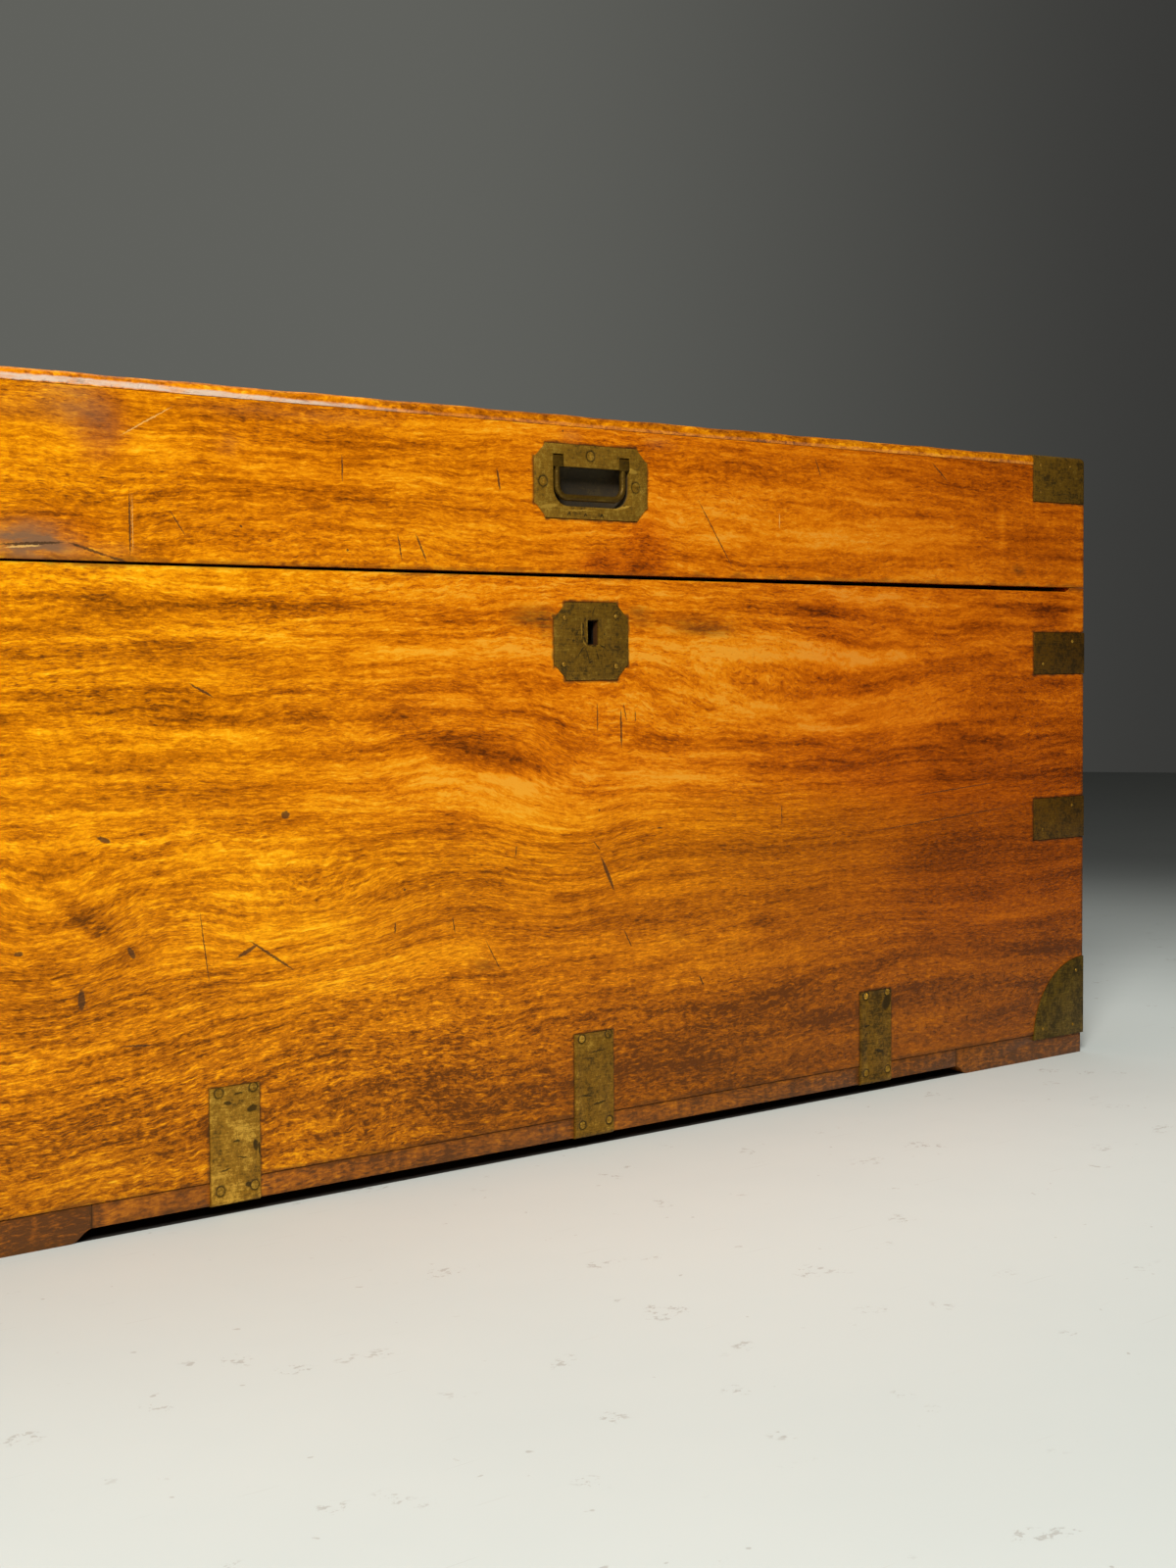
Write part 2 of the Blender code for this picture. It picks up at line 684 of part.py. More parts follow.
BOARD_INSIDE = -HALF_Y + BOARD
LOCK_MIDDLE = BOARD_INSIDE - LOCK_DEPTH / 2
FINGER_TOP = SPLIT - LOOP_DROP + LOOP_FOOT + LOOP_HOLE_HEIGHT - LOOP_CLEARANCE
FINGER_LOW = FINGER_TOP - FINGER_HEIGHT
BOLT_SHOULDER = SPLIT - LOOP_DROP - LOOP_FOOT
BOLT_LOW = BOLT_SHOULDER - BOLT_PLATE_HEIGHT


def make_lock_case(front):
    """Shallow iron box, flush with the board's inside, under a selvedge that is let into the rim."""
    inside, middle = BOARD_INSIDE, LOCK_MIDDLE
    top = min(rim_level(-SELVEDGE_WIDTH / 2), rim_level(SELVEDGE_WIDTH / 2))
    outer = inside - LOCK_DEPTH
    half = LOCK_WIDTH / 2
    foot = top - LOCK_HEIGHT
    case = add_piece("lock_case", "lock_iron", block(-half, half, outer, inside, foot, top))
    flange = SELVEDGE_WIDTH / 2
    fuse(case, block(-flange, flange, outer, inside, top - SELVEDGE, top), "selvedge")
    hollow_x = half - LOCK_WALL
    cavity = block(-hollow_x, hollow_x, outer + LOCK_WALL, inside - LOCK_WALL, foot + LOCK_WALL, top - SELVEDGE)
    cut(case, cavity, "cavity")
    ledge_top = BOLT_LOW - FIT
    ledges = []
    for sign in (-1, 1):
        near = sign * KEYHOLE_WIDTH
        far = sign * (half - LOCK_WALL / 2)
        ledges.append(block(min(near, far), max(near, far), outer + LOCK_WALL / 2, inside - LOCK_WALL / 2,
                            ledge_top - SELVEDGE, ledge_top))
    fuse(case, together(ledges), "ledges")
    slots = []
    for sign in (-1, 1):
        x = sign * LOOP_SPACING / 2
        wide = LOOP_THICKNESS / 2 + LOOP_CLEARANCE
        deep = LOOP_WIDTH / 2 + LOOP_CLEARANCE + FIT
        slots.append(block(x - wide, x + wide, middle - deep, middle + deep, top - 2 * SELVEDGE, top + SELVEDGE))
    cut(case, together(slots), "loop_slots")
    cut(case, keyhole(KEYHOLE_LINING, outer - LOCK_WALL, outer + 2 * LOCK_WALL), "keyhole")
    cut(front, block(-half - FIT, half + FIT, outer - FIT, inside + BOARD, foot - FIT, RIM), "lock_mortise")
    cut(front, block(-flange - FIT, flange + FIT, outer - FIT, inside + BOARD, top - SELVEDGE - FIT, RIM + FIT),
        "selvedge_seat")


def make_link_plate(rail):
    """Plate let into the lid's front rail, with two loops for the bolt's fingers."""
    inside, middle = BOARD_INSIDE, LOCK_MIDDLE
    half_plate = LOCK_DEPTH / 2
    half_length = LINK_PLATE_LENGTH / 2
    plate = add_piece("lock_link_plate", "lock_iron",
                      block(-half_length, half_length, middle - half_plate, middle + half_plate,
                            SPLIT, SPLIT + SELVEDGE))
    half_loop = LOOP_WIDTH / 2
    foot = SPLIT - LOOP_DROP
    head = SPLIT + SELVEDGE / 2
    tip = arc((middle, foot + half_loop), half_loop, 180, 360, ARC_STEPS)
    loop = [(middle - half_loop, head)] + tip + [(middle + half_loop, head)]
    loops = []
    holes = []
    for sign in (-1, 1):
        x = sign * LOOP_SPACING / 2
        half = LOOP_THICKNESS / 2
        loops.append(prism(loop, "x", x - half, x + half))
        holes.append(block(x - LOOP_THICKNESS, x + LOOP_THICKNESS,
                           middle - LOOP_HOLE_WIDTH / 2, middle + LOOP_HOLE_WIDTH / 2,
                           foot + LOOP_FOOT, foot + LOOP_FOOT + LOOP_HOLE_HEIGHT))
    fuse(plate, together(loops), "loops")
    cut(plate, together(holes), "loop_holes")
    cut(rail, block(-half_length - FIT, half_length + FIT, middle - half_plate - FIT, inside + FIT,
                    SPLIT - SELVEDGE, SPLIT + SELVEDGE + FIT), "link_plate_seat")


def make_bolt():
    """Sliding plate with two fingers, unlocked: each tip stands just short of its loop."""
    middle, low, shoulder = LOCK_MIDDLE, BOLT_LOW, BOLT_SHOULDER
    gap = LOOP_THICKNESS / 2 + 2 * LOOP_CLEARANCE
    tips = [sign * LOOP_SPACING / 2 - gap for sign in (-1, 1)]
    left = tips[0] - FINGER_LENGTH - FINGER_POST
    right = tips[1] + FINGER_POST
    talon = KEYHOLE_X - TALON_WIDTH / 2
    half_deep = LOCK_DEPTH / 2 - LOCK_WALL - FIT
    plate = [(left, low), (talon, low), (talon, low + TALON_HEIGHT), (talon + TALON_WIDTH, low + TALON_HEIGHT),
             (talon + TALON_WIDTH, low), (right, low), (right, shoulder), (left, shoulder)]
    bolt = add_piece("lock_bolt", "lock_iron", prism(plate, "y", middle - half_deep, middle + half_deep),
                     (0.0, middle, FINGER_LOW))
    fingers = []
    for tip in tips:
        post = tip - FINGER_LENGTH
        outline = [(post - FINGER_POST, shoulder - TALON_HEIGHT), (post, shoulder - TALON_HEIGHT),
                   (post, FINGER_LOW), (tip, FINGER_LOW), (tip, FINGER_TOP), (post - FINGER_POST, FINGER_TOP)]
        fingers.append(prism(outline, "y", middle - FINGER / 2, middle + FINGER / 2))
    fuse(bolt, together(fingers), "fingers")


def cylinder(centre, radius, along, low, high, sides=ROUND_SIDES):
    return prism(arc(centre, radius, 0, 360 * (sides - 1) / sides, sides - 1), along, low, high)


def hinge_leaf(name, x, direction, knuckles):
    """Leaf below (-1) or above (1) the axis, with its share of the knuckles, bored for the pin."""
    near = AXIS_Z + direction * FIT / 2
    far = near + direction * HINGE_LEAF
    low, high = min(near, far), max(near, far)
    front = AXIS_Y - HINGE_LEAF_DEPTH
    half = HINGE_LENGTH / 2
    leaf = add_piece(name, "dark_brass",
                     block(x - half, x + half, front, AXIS_Y - HINGE_BARREL - FIT, low, high))
    pitch = HINGE_LENGTH / HINGE_KNUCKLES
    for knuckle in knuckles:
        start = x - half + knuckle * pitch + (FIT / 2 if knuckle else 0.0)
        end = x - half + (knuckle + 1) * pitch - (FIT / 2 if knuckle < HINGE_KNUCKLES - 1 else 0.0)
        fuse(leaf, cylinder((AXIS_Y, AXIS_Z), HINGE_BARREL, "x", start, end), f"barrel_{knuckle}")
        root = AXIS_Y - HINGE_BARREL - 2 * FIT
        fuse(leaf, block(start, end, root, AXIS_Y - HINGE_PIN, low, high), f"root_{knuckle}")
    cut(leaf, cylinder((AXIS_Y, AXIS_Z), HINGE_PIN + FIT, "x", x - half - BOARD, x + half + BOARD), "bore")


def make_hinge(side, x, back, rail):
    every = range(HINGE_KNUCKLES)
    hinge_leaf(f"{side}_hinge_lower_leaf", x, -1, [k for k in every if k % 2 == 0])
    hinge_leaf(f"{side}_hinge_upper_leaf", x, 1, [k for k in every if k % 2 == 1])
    half = HINGE_LENGTH / 2
    pin = cylinder((AXIS_Y, AXIS_Z), HINGE_PIN, "x", x - half, x + half)
    smooth_rounds(add_piece(f"{side}_hinge_pin", "dark_brass", pin))
    for board, direction in ((back, -1), (rail, 1)):
        deep = AXIS_Z + direction * (FIT / 2 + HINGE_LEAF + FIT)
        open_side = AXIS_Z - direction * BOARD
        cut(board, block(x - half - FIT, x + half + FIT, AXIS_Y - HINGE_LEAF_DEPTH - FIT, AXIS_Y,
                         min(deep, open_side), max(deep, open_side)), f"{side}_leaf_seat")
        cut(board, cylinder((AXIS_Y, AXIS_Z), HINGE_BARREL + 2 * FIT, "x", x - half - FIT, x + half + FIT),
            f"{side}_barrel_seat")


def opening_outline(handle, spare=0.0):
    """Opening of the plate: straight at the top, with round lower corners."""
    half = handle.opening_width / 2 + spare
    low = -handle.plate_height / 2 + handle.opening_lift
    high = low + handle.opening_height + spare
    corner = handle.opening_corner + spare
    base = low - spare
    right = arc((half - corner, base + corner), corner, -90, 0, ARC_STEPS // 2 + 1)
    left = arc((-half + corner, base + corner), corner, 180, 270, ARC_STEPS // 2 + 1)
    return right + [(half, high), (-half, high)] + left


def tab_centre(handle):
    return handle.opening_width / 2 - handle.tab_width / 2 - FIT


def bail_axis(handle):
    """Pivot of the bail as (out, up) in handle axes."""
    top = -handle.plate_height / 2 + handle.opening_lift + handle.opening_height
    return PROUD - handle.tab_thickness / 2, top + handle.tab_height - handle.tab_thickness / 2


def boss_block(handle, spare=0.0):
    """Raised back of the plate that holds the bail's two square ends."""
    top = -handle.plate_height / 2 + handle.opening_lift + handle.opening_height
    half = handle.opening_width / 2 + handle.pan_wall + spare
    back = PROUD - handle.tab_thickness - 2 * handle.pan_wall - spare
    return block(-half, half, back, PROUD - BRASS / 2, top - handle.bar,
                 top + handle.tab_height + FIT + handle.pan_wall + spare)


def make_handle_plate(name, handle, board):
    """Plate and pan in one casting: hollow-cornered plate, opening with a pan behind, two notches."""
    axis_out, axis_up = bail_axis(handle)
    outline = bitten_rectangle(handle.plate_width, handle.plate_height, handle.bite)
    plate = add_piece(name, "aged_brass", on_face(prism(outline, "y", PROUD - BRASS, PROUD), handle))
    pan_back = PROUD - handle.pan_depth - handle.pan_wall
    pan = prism(opening_outline(handle, handle.pan_wall), "y", pan_back, PROUD - BRASS / 2)
    fuse(plate, on_face(pan, handle), "pan")
    fuse(plate, on_face(boss_block(handle), handle), "boss")
    hollow = prism(opening_outline(handle), "y", PROUD - handle.pan_depth, PROUD + BRASS)
    cut(plate, on_face(hollow, handle), "opening")
    top = -handle.plate_height / 2 + handle.opening_lift + handle.opening_height
    notches = []
    drills = []
    for sign in (-1, 1):
        centre = sign * tab_centre(handle)
        half = handle.tab_width / 2 + FIT
        notches.append(block(centre - half, centre + half, PROUD - handle.tab_thickness - handle.pan_wall,
                             PROUD + BRASS, top - handle.bar / 2, top + handle.tab_height + FIT))
        reach = half + pin_reach(handle) + FIT
        drills.append(cylinder((axis_out, axis_up), handle.pin + FIT, "x", centre - reach, centre + reach))
    cut(plate, on_face(together(notches), handle), "notches")
    cut(plate, on_face(together(drills), handle), "pin_holes")
    seat = bitten_rectangle(handle.plate_width, handle.plate_height, handle.bite, FIT)
    cut(board, on_face(prism(seat, "y", PROUD - BRASS - FIT, PROUD + BRASS), handle), f"{handle.name}_plate_seat")
    well = prism(opening_outline(handle, handle.pan_wall + FIT), "y", pan_back - FIT, PROUD)
    cut(board, on_face(well, handle), f"{handle.name}_pan_seat")
    cut(board, on_face(boss_block(handle, FIT), handle), f"{handle.name}_boss_seat")


def pin_reach(handle):
    """How far a pin enters the wall beside its notch."""
    return handle.pan_wall * PIN_HOLD


def tube(points, radius, sides=BAR_SIDES):
    """Round bar of constant section along points of the plane out = constant, as (across, out, up)."""
    shape = bmesh.new()
    rings = []
    for i, point in enumerate(points):
        before = points[max(i - 1, 0)]
        after = points[min(i + 1, len(points) - 1)]
        run = math.hypot(after[0] - before[0], after[2] - before[2])
        along = ((after[0] - before[0]) / run, (after[2] - before[2]) / run)
        ring = []
        for side in range(sides):
            turn = 2 * math.pi * side / sides
            in_plane = radius * math.cos(turn)
            out = radius * math.sin(turn)
            ring.append(shape.verts.new((point[0] - along[1] * in_plane, point[1] + out,
                                         point[2] + along[0] * in_plane)))
        rings.append(ring)
    for first, second in zip(rings, rings[1:]):
        for i in range(sides):
            j = (i + 1) % sides
            shape.faces.new((first[i], first[j], second[j], second[i]))
    shape.faces.new(rings[0])
    shape.faces.new(rings[-1])
    return shape


def make_bail(name, handle):
    """U-shaped bar with a square end at each arm, turning on a short pin through the end."""
    out, up = bail_axis(handle)
    side = tab_centre(handle)
    low = up - handle.bail_drop
    corner = handle.bail_corner
    left = arc((-side + corner, low + corner), corner, 180, 270)
    right = arc((side - corner, low + corner), corner, 270, 360)
    path = [(-side, out, up)] + [(x, out, z) for x, z in left + right] + [(side, out, up)]
    pivot = face_point(handle.face, handle.across, out, up + handle.up)
    bail = add_piece(name, "dark_brass", on_face(tube(path, handle.bar / 2), handle), pivot)
    smooth_rounds(bail)
    top = -handle.plate_height / 2 + handle.opening_lift + handle.opening_height
    half_thick = handle.tab_thickness / 2
    crown = arc((out, up), half_thick, 0, 180, ARC_STEPS)
    profile = crown + [(out - half_thick, top - FIT), (out + half_thick, top - FIT)]
    tabs = []
    pins = []
    for sign in (-1, 1):
        centre = sign * side
        half = handle.tab_width / 2
        reach = half + FIT + pin_reach(handle)
        tabs.append(prism(profile, "x", centre - half, centre + half))
        pins.append(cylinder((out, up), handle.pin, "x", centre - reach, centre + reach))
    fuse(bail, on_face(together(tabs), handle), "square_ends")
    fuse(bail, on_face(together(pins), handle), "pins")


def make_handles(carcase, lid):
    for handle, plate_name, board in ((LID_HANDLE, "lid_handle_plate", lid["front"]),
                                      (LEFT_HANDLE, "left_end_handle_plate", carcase["left"]),
                                      (RIGHT_HANDLE, "right_end_handle_plate", carcase["right"])):
        make_handle_plate(plate_name, handle, board)
        make_bail(f"{handle.name}_bail", handle)


def build():
    clear_scene()
    carcase = make_carcase()
    feet, skirts = make_base()
    lid = make_lid_frame()
    top = make_lid_top()
    make_brackets(carcase)
    make_base_corners(carcase, feet)
    make_straps(carcase, skirts)
    make_lid_corners(lid, top)
    make_escutcheon(carcase["front"])
    make_lock_case(carcase["front"])
    make_link_plate(lid["front"])
    make_bolt()
    for side, x in (("left", -HINGE_X), ("right", HINGE_X)):
        make_hinge(side, x, carcase["back"], lid["back"])
    make_handles(carcase, lid)


build()
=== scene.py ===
import math
import random

import bmesh
import bpy
import numpy as np
from mathutils import Matrix, Vector


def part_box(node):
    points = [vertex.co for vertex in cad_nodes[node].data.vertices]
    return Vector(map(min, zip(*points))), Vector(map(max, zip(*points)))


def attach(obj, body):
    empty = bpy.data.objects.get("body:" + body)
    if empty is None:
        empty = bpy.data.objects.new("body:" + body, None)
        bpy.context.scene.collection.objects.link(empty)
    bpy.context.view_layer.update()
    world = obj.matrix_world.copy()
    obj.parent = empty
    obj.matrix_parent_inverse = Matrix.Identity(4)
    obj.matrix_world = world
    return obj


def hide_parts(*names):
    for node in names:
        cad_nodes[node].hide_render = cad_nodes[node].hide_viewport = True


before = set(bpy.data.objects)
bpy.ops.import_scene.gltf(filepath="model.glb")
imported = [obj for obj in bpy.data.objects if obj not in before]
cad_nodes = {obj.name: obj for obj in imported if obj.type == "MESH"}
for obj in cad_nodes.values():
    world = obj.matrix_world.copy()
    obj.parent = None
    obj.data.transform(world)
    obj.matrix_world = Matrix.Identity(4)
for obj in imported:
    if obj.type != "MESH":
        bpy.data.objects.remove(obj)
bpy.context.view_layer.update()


# Back, ends and bottom of the trunk
# Camphor-wood boards 18 mm thick, dovetailed at the corners. Outside they carry a golden shellac polish
# like the front; inside the wood was left raw for its scent, and it has stayed paler.

RAW_HALF_X = 0.5023
RAW_HALF_Y = 0.2373
RAW_TOP = 0.4700
RAW_SHARE = 0.52
SWAY = 0.036
WAVE = 0.008
CRIMP = 0.0024
POLISH_COAT = 0.06
POLISH_COAT_ROUGHNESS = 0.18
POLISH_SPECULAR = 0.26
POLISH_TINT = (1.0, 0.70, 0.34, 1.0)
BOARD_BUMP = 0.45
BOARD_RELIEF = 0.0004
EDGE_WIDTH = 0.0035
EDGE_RAGGED = 0.012
GRIME_RAGGED = 0.004
MARK_SOFTNESS = 0.35
MARK_DEPTH = 0.006
MARK_WANDER = (0.0016, 0.0, 0.0016)
FIGURE_STOPS = (
    (0.00, (0.130, 0.034, 0.0008)),
    (0.22, (0.360, 0.098, 0.0004)),
    (0.45, (0.610, 0.188, 0.0004)),
    (0.68, (0.860, 0.318, 0.0014)),
    (0.86, (0.980, 0.435, 0.0040)),
    (1.00, (1.000, 0.540, 0.0200)),
)
RED_FILTER = (0.80, 0.52, 1.2)
RAW_COLOUR = (0.590, 0.385, 0.175)
RAW_DULLED = (0.400, 0.245, 0.115)
GRIME_COLOUR = (0.030, 0.014, 0.006)
DUST_COLOUR = (0.085, 0.048, 0.024)
LIP_HIGHLIGHT_CREAM = (0.67, 0.53, 0.42)
HAZE_COLOUR = (0.215, 0.105, 0.050)
STAIN_AND_SHADE_COLOUR = (0.055, 0.021, 0.006)
EDGE_SHADE = (0.090, 0.030, 0.006)
SCAR_SHADE = (0.045, 0.022, 0.010)
SCRAPE_AND_HIGHLIGHT_SHADE = (0.900, 0.550, 0.160)
PAINTED = ("Tone", "Redness", "Flow", "Strength", "Bands", "Stain", "Haze")


class Value:
    """An output of a shader node that can stand in sums."""

    def __init__(self, socket):
        self.socket = socket
        self.tree = socket.id_data

    def __add__(self, other):
        return calc("ADD", self, other)

    def __sub__(self, other):
        return calc("SUBTRACT", self, other)

    def __rsub__(self, other):
        return calc("SUBTRACT", other, self)

    def __mul__(self, other):
        return calc("MULTIPLY", self, other)

    def __lt__(self, other):
        return calc("LESS_THAN", self, other)

    def __abs__(self):
        return calc("ABSOLUTE", self)

    __radd__ = __add__


def feed(node, inputs):
    """Give each of a node's inputs a number or colour, or link the value given for it."""
    for key, value in inputs.items():
        socket = node.inputs[key]
        if isinstance(value, Value):
            node.id_data.links.new(value.socket, socket)
        elif socket.type == "RGBA" and len(value) == 3:
            socket.default_value = (*value, 1.0)
        else:
            socket.default_value = value


def add(tree, kind, inputs=None, output=0, **settings):
    """Add a node and return one of its outputs. Kind is a shader node's name, or any node's full one."""
    node = tree.nodes.new(kind if "Node" in kind else f"ShaderNode{kind}")
    for name, value in settings.items():
        setattr(node, name, value)
    feed(node, inputs or {})
    return Value(node.outputs[output])


def tree_of(*values):
    return next(value.tree for value in values if isinstance(value, Value))


def calc(operation, *values):
    return add(tree_of(*values), "Math", dict(enumerate(values)), operation=operation)


def vectors(operation, *values, output=0):
    return add(tree_of(*values), "VectorMath", dict(enumerate(values)), output, operation=operation)


def length_of(vector):
    return vectors("LENGTH", vector, output="Value")


def split(vector):
    node = add(vector.tree, "SeparateXYZ", {0: vector}).socket.node
    return [Value(output) for output in node.outputs]


def noise(place, cells, detail=2.0, roughness=0.5):
    """Noise about 0.5, with the given number of cells to the metre, along each axis or along all."""
    if isinstance(cells, float):
        cells = (cells, cells, cells)
    laid = vectors("MULTIPLY", place, cells)
    inputs = {"Vector": laid, "Scale": 1.0, "Detail": detail, "Roughness": roughness}
    return add(place.tree, "TexNoise", inputs)


def span(value, low, high, start=0.0, end=1.0):
    """Ease from start to end while a value goes from low to high."""
    inputs = {"Value": value, "From Min": low, "From Max": high, "To Min": start, "To Max": end}
    return add(value.tree, "MapRange", inputs, interpolation_type="SMOOTHSTEP")


def ramp(value, stops):
    colour = add(value.tree, "ValToRGB", {"Fac": value})
    elements = colour.socket.node.color_ramp.elements
    for i, (place, shade) in enumerate(stops):
        element = elements[i] if i < 2 else elements.new(place)
        element.position = place
        element.color = (*shade, 1.0)
    return colour


def mixed(share, one, other, way="MIX"):
    inputs = {0: share, 6: one, 7: other}
    return add(tree_of(share, one, other), "Mix", inputs, 2, data_type="RGBA", blend_type=way)


def around_half(base, *parts):
    """Base plus each noise's distance from 0.5 times its weight."""
    for value, weight in parts:
        base = base + (value - 0.5) * weight
    return base


def shader_group(name, takes, gives):
    """Start a group. Returns its tree, what it is given, by label, and the node for its results."""
    tree = bpy.data.node_groups.new(name, "ShaderNodeTree")
    for label, value in takes.items():
        kind = "Float" if isinstance(value, float) else {3: "Vector", 4: "Color"}[len(value)]
        socket = tree.interface.new_socket(label, in_out="INPUT", socket_type=f"NodeSocket{kind}")
        socket.default_value = value
    for label in gives:
        kind = "Color" if label == "Colour" else "Float"
        tree.interface.new_socket(label, in_out="OUTPUT", socket_type=f"NodeSocket{kind}")
    given = {output.name: Value(output) for output in tree.nodes.new("NodeGroupInput").outputs}
    return tree, given, tree.nodes.new("NodeGroupOutput")


def use_group(tree, group, inputs):
    node = tree.nodes.new("ShaderNodeGroup")
    node.node_tree = group
    feed(node, inputs)
    return [Value(output) for output in node.outputs]


camphor_figure, given, result = shader_group(
    "camphor figure", {"Grain": (0.0, 0.0, 0.0), "Flow": 0.0, "Tone": 0.0, "Redness": 0.0, "Ripple": 0.3,
                       "Strength": 1.0, "Bands": 1.0, "Seed": 0.0}, ("Colour", "Roughness", "Height"))
# The tone input is the wood's tone. On the front board it also carries painted shade and painted light.
tone_and_shade = given["Tone"]
steps = {i: given["Seed"] * step for i, step in enumerate((7.31, 3.17, 1.73))}
shift = add(camphor_figure, "CombineXYZ", steps)
laid = vectors("ADD", given["Grain"], shift)
bent = around_half(given["Flow"], (noise(laid, (2.6, 9.0, 5.0), 1.0), SWAY),
                   (noise(laid, (16.0, 14.0, 14.0), 1.0), WAVE),
                   (noise(laid, (115.0, 70.0, 55.0), 1.0), CRIMP))
line = vectors("ADD", laid, add(camphor_figure, "CombineXYZ", {1: bent}))
zones = noise(line, (1.1, 20.0, 8.0), 1.0)
streaks = noise(line, (4.5, 85.0, 40.0), 3.0, 0.6)
threads = noise(line, (30.0, 290.0, 140.0), 2.0, 0.6)
fibres = noise(line, (200.0, 560.0, 300.0), 3.0, 0.75)
# Silk and glints paint the wood's chatoyant sheen and glints into its colour, a painted highlight that does
# not move with the view; silk also varies roughness and relief.
silk = noise(laid, (9.0, 24.0, 12.0))
dash_patches = span(noise(laid, (11.0, 30.0, 12.0), 1.0), 0.34, 0.64, 0.15, 1.0)
dashes = span(noise(line, (190.0, 1050.0, 400.0), 1.0), 0.56, 0.66) * dash_patches
glints = span(noise(line, (130.0, 820.0, 400.0), 1.0), 0.57, 0.67)
in_dark = span(around_half(tone_and_shade, (streaks, 1.0)), -0.18, 0.06, 1.0, 0.25)
fiddle = (noise(laid, (170.0, 60.0, 60.0)) - 0.5) * (given["Ripple"] * in_dark)
grained_tone_and_shade = tone_and_shade * around_half(1.0, (streaks, 1.3), (threads, 1.4))
fine = around_half(0.0, (threads, 1.10), (fibres, 1.16)) - dashes * 0.20 + glints * 0.19
banded = around_half(0.0, (zones, 0.30), (streaks, 0.92))
broad = banded * given["Bands"] + around_half(0.575, (zones, 0.20), (silk, 0.34))
colour = ramp(fine * given["Strength"] + broad + grained_tone_and_shade + fiddle, FIGURE_STOPS)
feed(result, {
    "Colour": mixed(given["Redness"], colour, mixed(1.0, colour, RED_FILTER, "MULTIPLY")),
    "Roughness": around_half(0.36, (silk, 0.25), (streaks, 0.2)) + dashes * 0.16,
    "Height": around_half(0.5, (fibres, 0.7), (silk, 0.4)) - dashes})


def grain_axes(place, order):
    """The place with its axes in the order along the grain, across it and into the board."""
    axes = dict(zip("xyz", split(place)))
    return add(place.tree, "CombineXYZ", {i: axes[letter] for i, letter in enumerate(order)})


def near_an_edge(place, box):
    low, high = box
    away = vectors("ABSOLUTE", vectors("SUBTRACT", place, (low + high) / 2))
    x, y, z = split(vectors("SUBTRACT", (high - low) / 2, away))
    second = calc("MAXIMUM", calc("MINIMUM", x, y), calc("MINIMUM", calc("MAXIMUM", x, y), z))
    return span(around_half(second, (noise(place, 55.0, 3.0), EDGE_RAGGED)), 0.0, EDGE_WIDTH, 1.0, 0.0)


def beside_plates(place, plates):
    """Ragged line round the plates, each given as (centre, half size, width of the line)."""
    ragged = noise(place, 160.0, 3.0)
    strongest = 0.0
    for centre, half, width in plates:
        away = vectors("SUBTRACT", vectors("ABSOLUTE", vectors("SUBTRACT", place, centre)), half)
        reach = around_half(length_of(vectors("MAXIMUM", away, (0.0, 0.0, 0.0))), (ragged, GRIME_RAGGED))
        strongest = calc("MAXIMUM", strongest, span(reach, 0.0, width, 1.0, 0.0))
    return strongest


def all_marks(place, marks, face=-0.255):
    """Strongest of the marks given as (x, z, half length, half width, tilt), in mm and degrees."""
    cloud = add(place.tree, "TexNoise", {"Vector": place, "Scale": 600.0}, 1)
    wander = vectors("SUBTRACT", cloud, (0.5, 0.5, 0.5))
    ragged = vectors("ADD", place, vectors("MULTIPLY", wander, MARK_WANDER))
    strongest = 0.0
    for x, z, length, width, tilt in marks:
        offset = vectors("SUBTRACT", ragged, (x / 1000, face, z / 1000))
        inputs = {"Vector": offset, "Angle": math.radians(tilt)}
        offset = add(place.tree, "VectorRotate", inputs, rotation_type="Y_AXIS")
        reach = length_of(vectors("DIVIDE", offset, (length / 1000, MARK_DEPTH, width / 1000)))
        strongest = calc("MAXIMUM", strongest, span(reach, 1.0 - MARK_SOFTNESS, 1.0, 1.0, 0.0))
    return strongest


def new_material(name):
    material = bpy.data.materials.new(name)
    material.use_nodes = True
    return material, material.node_tree


def rub_and_light_lip(colour, place):
    """Cream along the front lip of the lid, a painted highlight on wood rubbed bare at the left, with a dark
    seam under it.
    """
    x, y, z = split(place)
    level = around_half(z - LIP_RUB_AND_HIGHLIGHT, (noise(place, 30.0, 3.0), 0.0022),
                        (noise(place, (220.0, 1.0, 1.0)), 0.0010))
    level = level + span(x, -0.33, -0.18, 0.0, 0.0016)
    front = y < -0.2500
    rubbed_and_lit = span(abs(level), 0.0010, 0.0022, 1.0, 0.0) * span(x, -0.22, -0.12, 1.0, 0.08)
    rubbed_and_lit = rubbed_and_lit * span(noise(place, (45.0, 160.0, 260.0), 3.0, 0.7), 0.28, 0.58, 0.35, 0.92)
    colour = mixed(rubbed_and_lit * front, colour, LIP_HIGHLIGHT_CREAM)
    seam = span(abs(level + 0.0029), 0.0003, 0.0008, 0.75, 0.0) * span(x, -0.34, -0.27, 1.0, 0.0)
    return mixed(seam * front, colour, GRIME_COLOUR)


